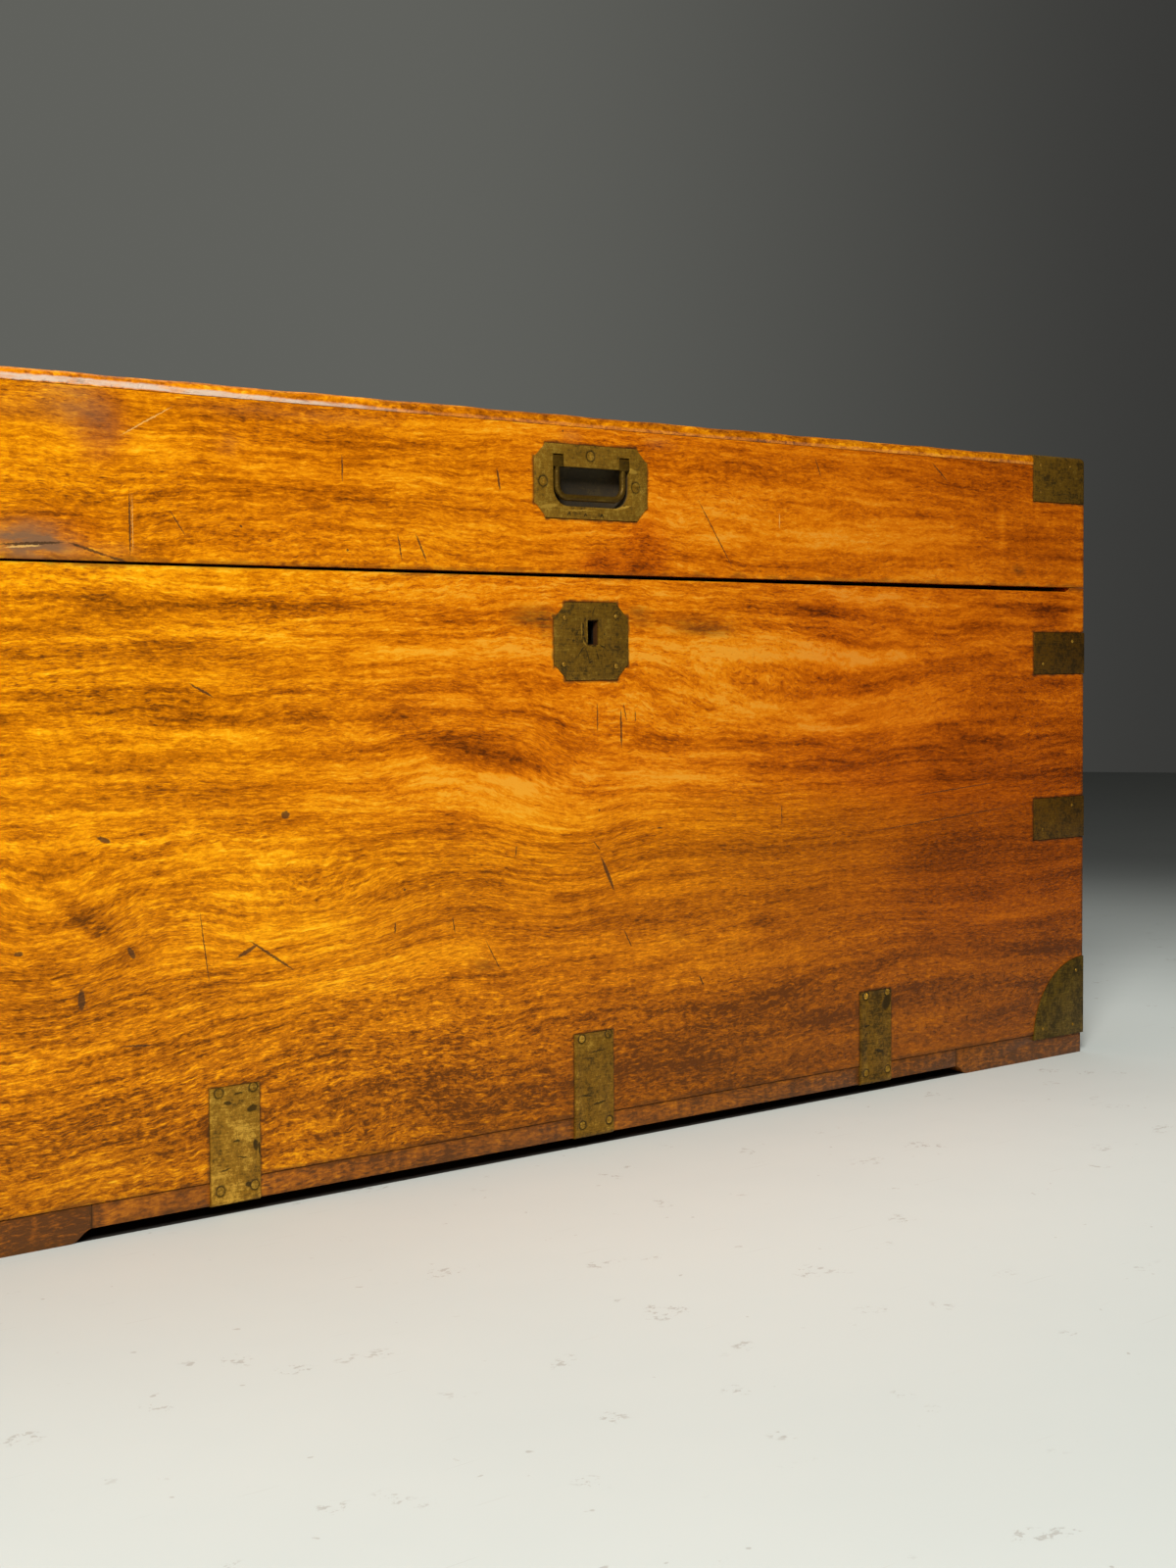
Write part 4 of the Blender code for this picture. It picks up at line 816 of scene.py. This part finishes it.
def fasten(name, tree, material, places, radius, body="carcase", slot_width=0.0007):
    """Set screws or pins, each given as (place, outward direction)."""
    mesh = bpy.data.meshes.new(name)
    mesh.from_pydata([place for place, _ in places], [], [])
    mesh.attributes.new("turned", "FLOAT_VECTOR", "POINT")
    mesh.attributes.new("sized", "FLOAT", "POINT")
    for i, (_, facing) in enumerate(places):
        roll = Matrix.Rotation(turns.uniform(0, math.pi), 3, "Z")
        turn = Vector(facing).to_track_quat("Z", "Y").to_matrix() @ roll
        mesh.attributes["turned"].data[i].vector = turn.to_euler()
        mesh.attributes["sized"].data[i].value = turns.uniform(0.93, 1.05)
    piece = bpy.data.objects.new(name, mesh)
    bpy.context.scene.collection.objects.link(piece)
    change = piece.modifiers.new("fasteners", "NODES")
    change.node_group = tree
    values = {"Head radius": radius, "Head depth": HEAD_DEPTH, "Slot width": slot_width, "Metal": material}
    for item in tree.interface.items_tree:
        if item.in_out == "INPUT" and item.name in values:
            change[item.identifier] = values[item.name]
    settle(piece)
    if tree == slotted_screws:
        smooth(piece)
    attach(piece, body)


CORNER_SIGNS = {"front_left": (-1, -1), "front_right": (1, -1), "back_left": (-1, 1), "back_right": (1, 1)}
HALF_LENGTH = 0.520
HALF_DEPTH = 0.255
FACE_PROUD = 0.0008


def leaf_places(side_x, side_y, along, height):
    """A place on both leaves of a corner brass: on the long face and on the end."""
    front = ((side_x * (HALF_LENGTH - along), side_y * (HALF_DEPTH + FACE_PROUD), height), (0, side_y, 0))
    end = ((side_x * (HALF_LENGTH + FACE_PROUD), side_y * (HALF_DEPTH - along), height), (side_x, 0, 0))
    return [front, end]


def screwed_plate(node, name, seed, facing, screws, radius, ring, marks=(), body="carcase", bites=None,
                  **finish):
    """A brass plate with a seat for each screw and a dark ring round it, painted shade in the gap with
    tarnish. Returns the places of the screws.
    """
    on_end = facing[0] != 0
    face = sum(facing) * ((HALF_LENGTH if on_end else HALF_DEPTH) + FACE_PROUD)
    # Each screw gets a dark ring on the plate: painted shade in the gap round its head, with tarnish.
    painted_shade_rings = [(1000 * across, 1000 * height, ring, ring, 0) for across, height in screws]
    metal = old_brass(name, seed, dark_marks=(*painted_shade_rings, *marks), face=face, facing_end=on_end, **finish)
    seats = [(face, across, height) if on_end else (across, face, height) for across, height in screws]
    sinks = [(seat, facing) for seat in seats]
    brass_piece(node, metal, body, sinks=sinks, radius=radius + SEAT_SPARE, bites=bites)
    return [([value - SCREW_SUNK * out for value, out in zip(seat, facing)], facing) for seat in seats]


pin_metal = old_brass("brass_pins", 3.0, tint=1.0, polish=0.05)
bracket_pins = []
for seed, (corner, (side_x, side_y)) in enumerate(CORNER_SIGNS.items()):
    for level, height in zip(("upper", "lower"), BRACKET_HEIGHTS):
        tint = 0.37 if level == "upper" else 0.42
        metal = old_brass(f"brass_{corner}_{level}", 0.4 * seed + height, tint, polish=-0.10, warm=1.14)
        brass_piece(f"{corner}_{level}_bracket", metal)
        for along, rise in ((0.016, 0.0095), (0.053, -0.0085)):
            bracket_pins += leaf_places(side_x, side_y, along, height + rise)
fasten("bracket_pins", round_pins, pin_metal, bracket_pins, PIN_HEAD)


# Base corners
# Brass angles with quarter-round leaves over the joint between boards and feet, nearly black with green
# tarnish and rubbed olive along the curve.

BASE_CORNER_PINS = ((0.010, 0.0680), (0.052, 0.0245), (0.014, 0.0240))
corner_pins = []
for seed, (corner, (side_x, side_y)) in enumerate(CORNER_SIGNS.items()):
    metal = old_brass(f"brass_{corner}_base", 5.0 + seed, tint=0.58, polish=-0.14, warm=0.86)
    brass_piece(f"{corner}_base_corner", metal)
    for along, height in BASE_CORNER_PINS:
        corner_pins += leaf_places(side_x, side_y, along, height)
fasten("base_corner_pins", round_pins, pin_metal, corner_pins, PIN_HEAD)


# Base straps
# Three brass strips on the front and three on the back, let in almost flush, turned in under the skirt.
# Each is held by four slotted brass screws.

STRAP_SCREW = 0.0025
STRAP_HOLES = ((-0.0105, 0.0725), (0.0125, 0.0735), (-0.0105, 0.0148), (0.0125, 0.0152))
STRAP_TINTS = {"left": (1.18, 0.15), "middle": (0.86, 0.0), "right": (0.76, -0.10)}
STRAP_BLOTCHES = {
    "left": ((-277, 66, 3.4, 1.3, -8), (-261, 61, 4.0, 2.6, 12), (-263.5, 16, 3.6, 1.8, -15),
             (-272, 43, 3.0, 1.0, 5),
             (-259, 39, 1.8, 4.5, 8), (-279, 27, 4.5, 0.5, 12), (-268, 33, 5.0, 0.5, -14),
             (-256.6, 36, 0.9, 5.5, 6), (-270, 71, 4.0, 0.8, 6)),
    "middle": ((3, 63, 9, 0.5, 4), (-5, 59, 6, 0.4, -6), (4, 28, 7, 0.8, 6), (-7, 34, 5, 0.7, -8)),
    "right": ((284, 66, 5, 8, -30), (263, 50, 4, 1, 10), (276, 30, 6, 1.4, -12)),
}
strap_screws = []
for side, side_y in (("front", -1), ("back", 1)):
    for seed, (place, x) in enumerate(zip(STRAP_TINTS, STRAP_X)):
        tint, polish = STRAP_TINTS[place]
        strap_screws += screwed_plate(
            f"{side}_{place}_strap", f"brass_{side}_{place}_strap", 9.0 + 1.7 * seed + side_y, (0, side_y, 0),
            [(x + across, height) for across, height in STRAP_HOLES], STRAP_SCREW, 4.2,
            STRAP_BLOTCHES[place] if side == "front" else (), tint=tint, polish=polish, warm=1.05)
screw_metal = old_brass("brass_screws", 14.0, tint=1.10, polish=0.14)
fasten("strap_screws", slotted_screws, screw_metal, strap_screws, STRAP_SCREW)


# Escutcheon
# Brass plate with hollow corners, let in over the keyhole and pinned at its corners. A key missed the hole
# often enough to wear a ragged arc beside it.

ESCUTCHEON_BITE = 0.010
ESCUTCHEON_PINS = ((-0.0213, 0.3508), (0.0220, 0.3520), (-0.0225, 0.3205), (0.0220, 0.3190))
FRONT_FACE = -HALF_DEPTH - FACE_PROUD
FORWARD = (0, -1, 0)
KEY_SCARS = (
    (-4.4, 349.5, 1.6, 0.7, 75), (-5.8, 345.6, 2.4, 0.8, 95), (-6.0, 340.8, 2.4, 0.8, 84),
    (-4.8, 336.6, 2.2, 0.8, 115), (-1.8, 333.6, 2.2, 0.8, 150), (3.0, 332.6, 2.6, 0.7, 10),
    (-7.9, 329.2, 5.0, 0.5, 50), (-2.5, 326.3, 6.0, 0.5, -69), (5.8, 326.3, 4.9, 0.5, -73),
    (10.3, 332.0, 4.0, 0.5, -29), (-11, 341, 2.2, 0.5, 70), (0.0, 322.0, 2.0, 0.6, 20),
    (-14.5, 336.0, 1.2, 0.7, 0), (12.0, 340.0, 0.9, 0.6, 0), (3.0, 356.0, 3.0, 0.4, 60),
)
KEY_RUBS = ((-7.6, 343.0, 6.5, 0.5, 92), (-5.2, 334.2, 3.0, 0.5, 130), (-2.9, 347.5, 3.0, 0.3, 80),
            (-2.6, 339.0, 4.0, 0.3, 95))
# The dark rings round the pins are painted shade in the gap round each head, with tarnish.
pin_shade_rings = tuple((1000 * x, 1000 * z, 2.5, 2.5, 0) for x, z in ESCUTCHEON_PINS)
escutcheon_metal = old_brass("brass_escutcheon", 17.0, tint=0.74, dark_marks=KEY_SCARS + pin_shade_rings,
                             light_marks=KEY_RUBS)
brass_piece("escutcheon", escutcheon_metal, bites=(0, ESCUTCHEON_BITE))
escutcheon_pins = [((x, FRONT_FACE, z), FORWARD) for x, z in ESCUTCHEON_PINS]
fasten("escutcheon_pins", round_pins, pin_metal, escutcheon_pins, 0.0018)


# Lock and link plate
# Iron box lock let into the inside of the front board, its selvedge in the rim. The link plate in the lid
# drops two loops into it, and the bolt slides through them.

IRON_DARK = (0.028, 0.024, 0.021)
IRON_WORN = (0.115, 0.105, 0.095)
IRON_RUST = (0.130, 0.050, 0.020)

lock_iron, tree = new_material("oiled_iron")
place = add(tree, "TexCoord", output="Object")
patches = noise(place, 90.0, 4.0, 0.6)
grain = noise(place, 900.0)
rust = span(around_half(0.3, (noise(place, 210.0, 5.0, 0.7), 2.0)), 0.55, 0.95)
colour = mixed(span(around_half(0.5, (patches, 1.2), (grain, 0.6)), 0.2, 0.9), IRON_DARK, IRON_WORN)
pitted = around_half(0.5, (grain, 1.0), (patches, 1.0))
feed(tree.nodes["Principled BSDF"], {
    "Base Color": mixed(rust * 0.7, colour, IRON_RUST), "Roughness": span(grain, 0.2, 0.8, 0.40, 0.62),
    "Metallic": span(rust, 0.0, 1.0, 0.9, 0.2),
    "Normal": add(tree, "Bump", {"Strength": 0.5, "Distance": 0.0002, "Height": pitted})})
give(lock_iron, "lock_case", "lock_link_plate", "lock_bolt")


# Hinges
# Two brass butt hinges let into the back board and the lid's back rail, their knuckles on the outside of the
# leaves and a brass pin through them.

give(old_brass("brass_hinges", 21.0, tint=0.7, polish=0.0),
     *[f"{side}_hinge_{part}" for side in ("left", "right") for part in ("lower_leaf", "upper_leaf", "pin")])


# End handles
# Flush carrying handles: a cast brass plate with a pan behind its opening, and a heavy round bar that hangs
# in the pan from two square ends.

END_PLATE_SCREWS = ((-0.0535, 0.0), (0.0535, 0.0), (0.0, 0.0245))
HANDLE_SCREW = 0.0032
HANDLE_SLOT = 0.0009
END_BITE = 0.012
for side, side_x, seed in (("left", -1, 23.0), ("right", 1, 25.0)):
    screws = screwed_plate(
        f"{side}_end_handle_plate", f"brass_{side}_end_plate", seed, (side_x, 0, 0),
        [(across, END_HANDLE_Z + rise) for across, rise in END_PLATE_SCREWS], HANDLE_SCREW, 4.7, tint=0.85,
        polish=0.06, pan=(0, HALF_LENGTH + FACE_PROUD), bites=(1, END_BITE))
    fasten(f"{side}_end_plate_screws", slotted_screws, screw_metal, screws, HANDLE_SCREW,
           slot_width=HANDLE_SLOT)
    brass_piece(f"{side}_bail", old_brass(f"brass_{side}_bail", seed + 1, tint=0.7, polish=0.08),
                body=f"{side}_bail", arris=0.0005)


# Lid frame
# Four camphor rails dovetailed like the carcase. The front rail carries the drop handle, a split runs along
# its lower edge at the left, and its colour is darker towards both ends.

HIDDEN_EDGE = Vector((0.0, 0.0, 0.008))
LID_FIGURE = (
    (-347, 456, 13, 17, -22), (-385, 450, 22, 12, -10), (-376, 396, 32, 12, -10), (-384, 418, 24, 4, -16),
    (-115, 415, 55, 8, -18), (26, 386, 28, 6, -30), (50, 400, 15, 15, -16), (8, 388, 12, 7, -30),
    (44, 384, 13, 4, -30), (402, 441, 13, 4, -24), (137, 469, 8, 6, -20), (275, 444, 75, 2, -22),
    (495, 403, 30, 2, -30, -5), (418, 420, 2.5, 25, 22), (-270, 467, 4, 3, -30), (-286, 439, 4, 4, -30),
    (165, 455, 45, 12, -12), (90, 403, 30, 14, 10),
)
LID_RUST = (
    (-347, 456, 16, 20, 90), (-376, 396, 34, 14, 70), (26, 386, 30, 7, 90), (50, 400, 18, 16, 50),
)
LID_STAINS = (
    (409, 473.5, 9, 2.5, 80), (437, 392, 6, 2, 80), (-347, 456, 15, 17, 22),
)
LID_HAZE = (
    (-360, 464, 22, 13, 48, -20), (-395, 462, 22, 8, 12), (-394, 389, 24, 10, 130), (-365, 384, 34, 5, 30),
    (-350, 446, 10, 12, 15, -30), (-268, 449, 7, 4, 20, 40), (-14, 468, 8, 4, 26), (62, 470, 12, 4, 26),
    (-225, 469, 60, 3, 20),
)
LID_DARK_MARKS = (
    (-332, 401, 21, 0.7, 90), (-191, 439, 9, 0.6, 90), (-73.7, 438, 8, 1, -80), (-134, 393, 11, 0.7, -65),
    (-150, 393, 10, 0.6, -80), (-302, 402, 9, 0.5, -55), (113, 410, 32, 0.55, -55),
    (214, 460.6, 8, 0.6, 114), (345, 464, 12, 0.7, -37), (-261, 402, 1, 1, 0), (-188, 390, 1, 1, 0),
    (-21, 472, 1, 1, 0), (-391, 388, 22, 0.9, 3), (-357, 385.6, 14, 0.9, -16), (-340, 380.8, 7, 0.9, -14),
)
# Pale scrapes, and a painted highlight along the edge of the split at the lower left.
LID_LIGHT_MARKS = ((-320.6, 458.7, 21, 0.5, 29), (175, 421, 6, 0.4, 90), (-330.4, 401, 19, 0.25, 90),
                   (-396, 386.4, 12, 0.7, 4))
LID_PLATES = [((0.0026, 0.0, 0.4396), half, 0.0026)
              for half in ((0.0384, 0.5, 0.0240), (0.0479, 0.5, 0.0145))]
LID_CORNER_SEATS = [((side * 0.488, 0.0, 0.4655), (0.0325, 0.5, 0.0186), 0.0026) for side in (-1, 1)]

rail_low, rail_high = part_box("lid_front_rail")
rail_wood = polished_wood("polished_lid_front", "xzy", 3.0, (rail_low, rail_high + HIDDEN_EDGE), ripple=0.24,
                          plates=LID_PLATES + LID_CORNER_SEATS, dark_marks=LID_DARK_MARKS,
                          light_marks=LID_LIGHT_MARKS, edge=0.50, painted=True)
squares = front_squares("lid_front_rail")
lid_front = new_piece("camphor_lid_front_rail", squares, rail_wood, "lid")
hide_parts("lid_front_rail")
x, _, z = places_of(lid_front.data).T
lid_shade = 0.08 * eased(-x, 330, 480) * eased(z, 400, 430) + 0.06 * eased(x, 250, 480)
lid_shade += 0.08 * eased(-x, 140, 200)
lid_redder = 0.45 * eased(x, -430, -200) + 0.40 * eased(x, -150, 60) + 0.12 * eased(x, 100, 400)
paint(lid_front.data, {
    "Tone": 0.8 * soft_spots(x, z, LID_FIGURE) - 0.05 - lid_shade,
    "Redness": np.clip(lid_redder + 0.6 * soft_spots(x, z, LID_RUST), 0, 1.1),
    "Strength": 0.98 - 0.26 * eased(x, 0, 300),
    "Bands": 1.0 + 0.4 * eased(x, 0, 200),
    "Stain": np.clip(soft_spots(x, z, LID_STAINS), 0, 0.9),
    "Haze": np.clip(soft_spots(x, z, LID_HAZE), 0, 1.1)})
smooth(lid_front)
for name, order, seed in (("lid_back_rail", "xzy", 5.0), ("lid_left_rail", "yzx", 7.0),
                          ("lid_right_rail", "yzx", 9.0)):
    seats = [((0.0, side * 0.2225, 0.4655), (0.6, 0.0325, 0.0186), 0.0026) for side in (-1, 1)]
    give(polished_wood(f"polished_{name}", order, seed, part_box(name),
                       plates=LID_CORNER_SEATS if name == "lid_back_rail" else seats), name)


# Lid top
# One wide board rebated into the frame, its lip as large as the trunk. The front arris is a little uneven
# from being leant on, and pale along its lower part: rubbed bare at the left, with a painted highlight on it.

TOP_STEP = 0.008
ARRIS_WEAR = 0.0006
LIP_RUB_AND_HIGHLIGHT = 0.4775
top_low, top_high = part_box("lid_top_board")
shape = own_copy("lid_top_board")
sliced(shape, "x", steps_between(top_low.x, top_high.x, TOP_STEP), lambda face: abs(face.normal.x) < 0.5)
top_wood = polished_wood("polished_lid_top", "xyz", 13.0, (top_low - HIDDEN_EDGE, top_high), tone_and_shade=-0.15,
                         redness=0.3, lip=True)
lid_top = new_piece("camphor_lid_top", shape, top_wood, "lid")
for vert in lid_top.data.vertices:
    near_front = vert.co.y < -0.2505 and vert.co.z > 0.4762 and abs(vert.co.x) < 0.445
    if near_front:
        share = ARRIS_WEAR * (0.5 + 0.3 * math.sin(71 * vert.co.x) + 0.2 * math.sin(163 * vert.co.x + 1.1))
        vert.co.y += share
        vert.co.z -= share * (vert.co.z > 0.4795)
smooth(lid_top)
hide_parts("lid_top_board")


# Lid corners
# Three-way brass corners: a leaf on the front, one on the end and a quarter-round one on top, drawn from one
# sheet and pinned.

LID_CORNER_PINS = ((0.0190, 0.4755), (0.0560, 0.4755), (0.0560, 0.4545))
lid_pins = []
for seed, (corner, (side_x, side_y)) in enumerate(CORNER_SIGNS.items()):
    metal = old_brass(f"brass_lid_{corner}", 31.0 + seed, tint=0.66, polish=-0.04)
    brass_piece(f"lid_{corner}_corner", metal, body="lid")
    for along, height in LID_CORNER_PINS:
        lid_pins += leaf_places(side_x, side_y, along, height)
    for across, inward in ((0.045, 0.012), (0.012, 0.045), (0.026, 0.026)):
        place = (side_x * (HALF_LENGTH - across), side_y * (HALF_DEPTH - inward), 0.4838)
        lid_pins.append((place, (0, 0, 1)))
fasten("lid_corner_pins", round_pins, pin_metal, lid_pins, PIN_HEAD, body="lid")


# Lid handle
# Flush drop handle in the lid's front: a brass plate with hollow corners and a pan painted dark as shade,
# three slotted screws, and a round bail with square ends.

LID_PLATE_SCREWS = ((0.0015, 0.4568), (-0.0383, 0.4388), (0.0403, 0.4380))
LID_BITE = 0.009
BAIL_DENTS = ((-17.6, 418.6, 1.8, 0.6, 62), (-16.2, 418.6, 1.8, 0.6, -62), (-4.0, 418.0, 1.8, 0.6, 62),
              (-2.6, 418.0, 1.8, 0.6, -62), (9.8, 418.2, 2.0, 0.7, 62), (11.2, 418.2, 2.0, 0.7, -62))
PLATE_RUBS = ((-34, 423, 9, 1.6, 8), (36, 449, 7, 2.0, -10), (-8, 421, 16, 0.5, 2), (28, 424, 9, 1.0, 12))
lid_screws = screwed_plate(
    "lid_handle_plate", "brass_lid_plate", 37.0, FORWARD, LID_PLATE_SCREWS, HANDLE_SCREW, 4.9, BAIL_DENTS,
    body="lid", tint=1.05, polish=0.10, pan=(1, HALF_DEPTH + FACE_PROUD), light_marks=PLATE_RUBS,
    bites=(0, LID_BITE))
fasten("lid_plate_screws", slotted_screws, screw_metal, lid_screws, HANDLE_SCREW, body="lid",
       slot_width=HANDLE_SLOT)
brass_piece("lid_bail", old_brass("brass_lid_bail", 39.0, tint=0.28, polish=0.12), body="lid_bail",
            arris=0.0004)


# Floor, light and camera
# A pale painted floor, soft lamps to the left and above, and a grey surround that darkens to the right, as
# in a plain studio. On the floor's colour lie a painted pool of light by the trunk, painted shade further off
# and a painted shadow under the trunk. The camera stands low to the left of the trunk.

FLOOR_RADIUS = 5.0
FLOOR_COLOUR = (0.640, 0.688, 0.664)
FLOOR_SHADE_CENTRE = (0.05, -0.35, 0.0)
FLOOR_LIGHT_POOL = (0.45, -0.28, 0.0)
FLOOR_FAR_SHADE = 0.17
FLOOR_PAINTED_SHADOW = (0.020, 0.018, 0.016)
FLOOR_SPECK = (0.300, 0.270, 0.230)
SHADE_INSET = 0.002
WALL_LEFT = (0.118, 0.120, 0.108)
WALL_RIGHT = (0.037, 0.037, 0.035)
LENS = 48.953
CAMERA_PLACE = (-0.89369, -1.34468, 0.31676)
YAW = math.radians(-39.2713)
PITCH = math.radians(3.0642)
ROLL = math.radians(-0.5339)

shape = bmesh.new()
bmesh.ops.create_circle(shape, cap_ends=True, segments=160, radius=FLOOR_RADIUS)
mesh = bpy.data.meshes.new("floor")
shape.to_mesh(mesh)
shape.free()
floor = bpy.data.objects.new("floor", mesh)
bpy.context.scene.collection.objects.link(floor)
floor_paint, tree = new_material("floor_paint")
place = add(tree, "TexCoord", output="Object")
x, y, _ = split(place)
cloud = noise(place, 2.2, 4.0, 0.6)
chips = span(noise(place, 26.0, 1.0), 0.66, 0.72)
chips = chips * span(noise(place, (170.0, 210.0, 170.0), 3.0, 0.7), 0.53, 0.60)
scratches = span(noise(place, (16.0, 420.0, 1.0), 1.0), 0.74, 0.79)
specks = calc("MAXIMUM", calc("MAXIMUM", chips, scratches * 0.3), span(noise(place, 95.0), 0.73, 0.77))
colour = mixed(span(cloud, 0.3, 0.7), FLOOR_COLOUR, tuple(0.93 * value for value in FLOOR_COLOUR))
colour = mixed(specks * 0.45, colour, FLOOR_SPECK)
# A painted pool of light near the trunk, and painted shade growing further off, where the lamps' light falls
# away.
painted_light_pool = span(length_of(vectors("SUBTRACT", place, FLOOR_LIGHT_POOL)), 0.15, 0.95, 1.22, 0.96)
painted_far_shade = span(length_of(vectors("SUBTRACT", place, FLOOR_SHADE_CENTRE)), 0.70, 2.3)
colour = mixed(painted_far_shade, vectors("MULTIPLY", colour, painted_light_pool), tuple(FLOOR_FAR_SHADE * value for value in FLOOR_COLOUR))
# Painted shadow on the floor under the trunk.
painted_shadow_under = (abs(x) < HALF_LENGTH - SHADE_INSET) * (abs(y) < HALF_DEPTH - SHADE_INSET)
feed(tree.nodes["Principled BSDF"], {"Base Color": mixed(painted_shadow_under, colour, FLOOR_PAINTED_SHADOW),
                                     "Roughness": span(cloud, 0.3, 0.7, 0.5, 0.66)})
mesh.materials.append(floor_paint)

world = bpy.data.worlds.new("studio")
bpy.context.scene.world = world
world.use_nodes = True
tree = world.node_tree
direction = add(tree, "TexCoord", output="Generated")
across = vectors("DOT_PRODUCT", direction, (math.cos(YAW), math.sin(YAW), 0.0), output="Value")
shade = mixed(span(across, -0.107, 0.32), WALL_LEFT, WALL_RIGHT)
feed(tree.nodes["Background"], {"Color": shade, "Strength": 1.0})


def lamp(name, place, target, size, power, tint=(1.0, 1.0, 1.0)):
    light = bpy.data.lights.new(name, "AREA")
    light.shape = "DISK"
    light.size = size
    light.energy = power
    light.color = tint
    made = bpy.data.objects.new(name, light)
    made.location = place
    made.rotation_euler = (Vector(place) - Vector(target)).to_track_quat("Z", "Y").to_euler()
    bpy.context.scene.collection.objects.link(made)


lamp("key", (-1.7, -2.0, 2.1), (-0.15, -0.25, 0.2), 0.9, 112.0, (1.0, 0.97, 0.92))
lamp("overhead", (0.4, 0.4, 3.0), (0.2, 0.0, 0.0), 2.2, 20.0)

camera_data = bpy.data.cameras.new("camera")
camera_data.lens = LENS
camera = bpy.data.objects.new("camera", camera_data)
heading = Matrix.Rotation(YAW, 4, "Z") @ Matrix.Rotation(math.pi / 2 - PITCH, 4, "X")
turned = heading @ Matrix.Rotation(ROLL, 4, "Z")
camera.matrix_world = Matrix.Translation(CAMERA_PLACE) @ turned
bpy.context.scene.collection.objects.link(camera)
bpy.context.scene.camera = camera
bpy.context.scene.view_settings.view_transform = "Standard"
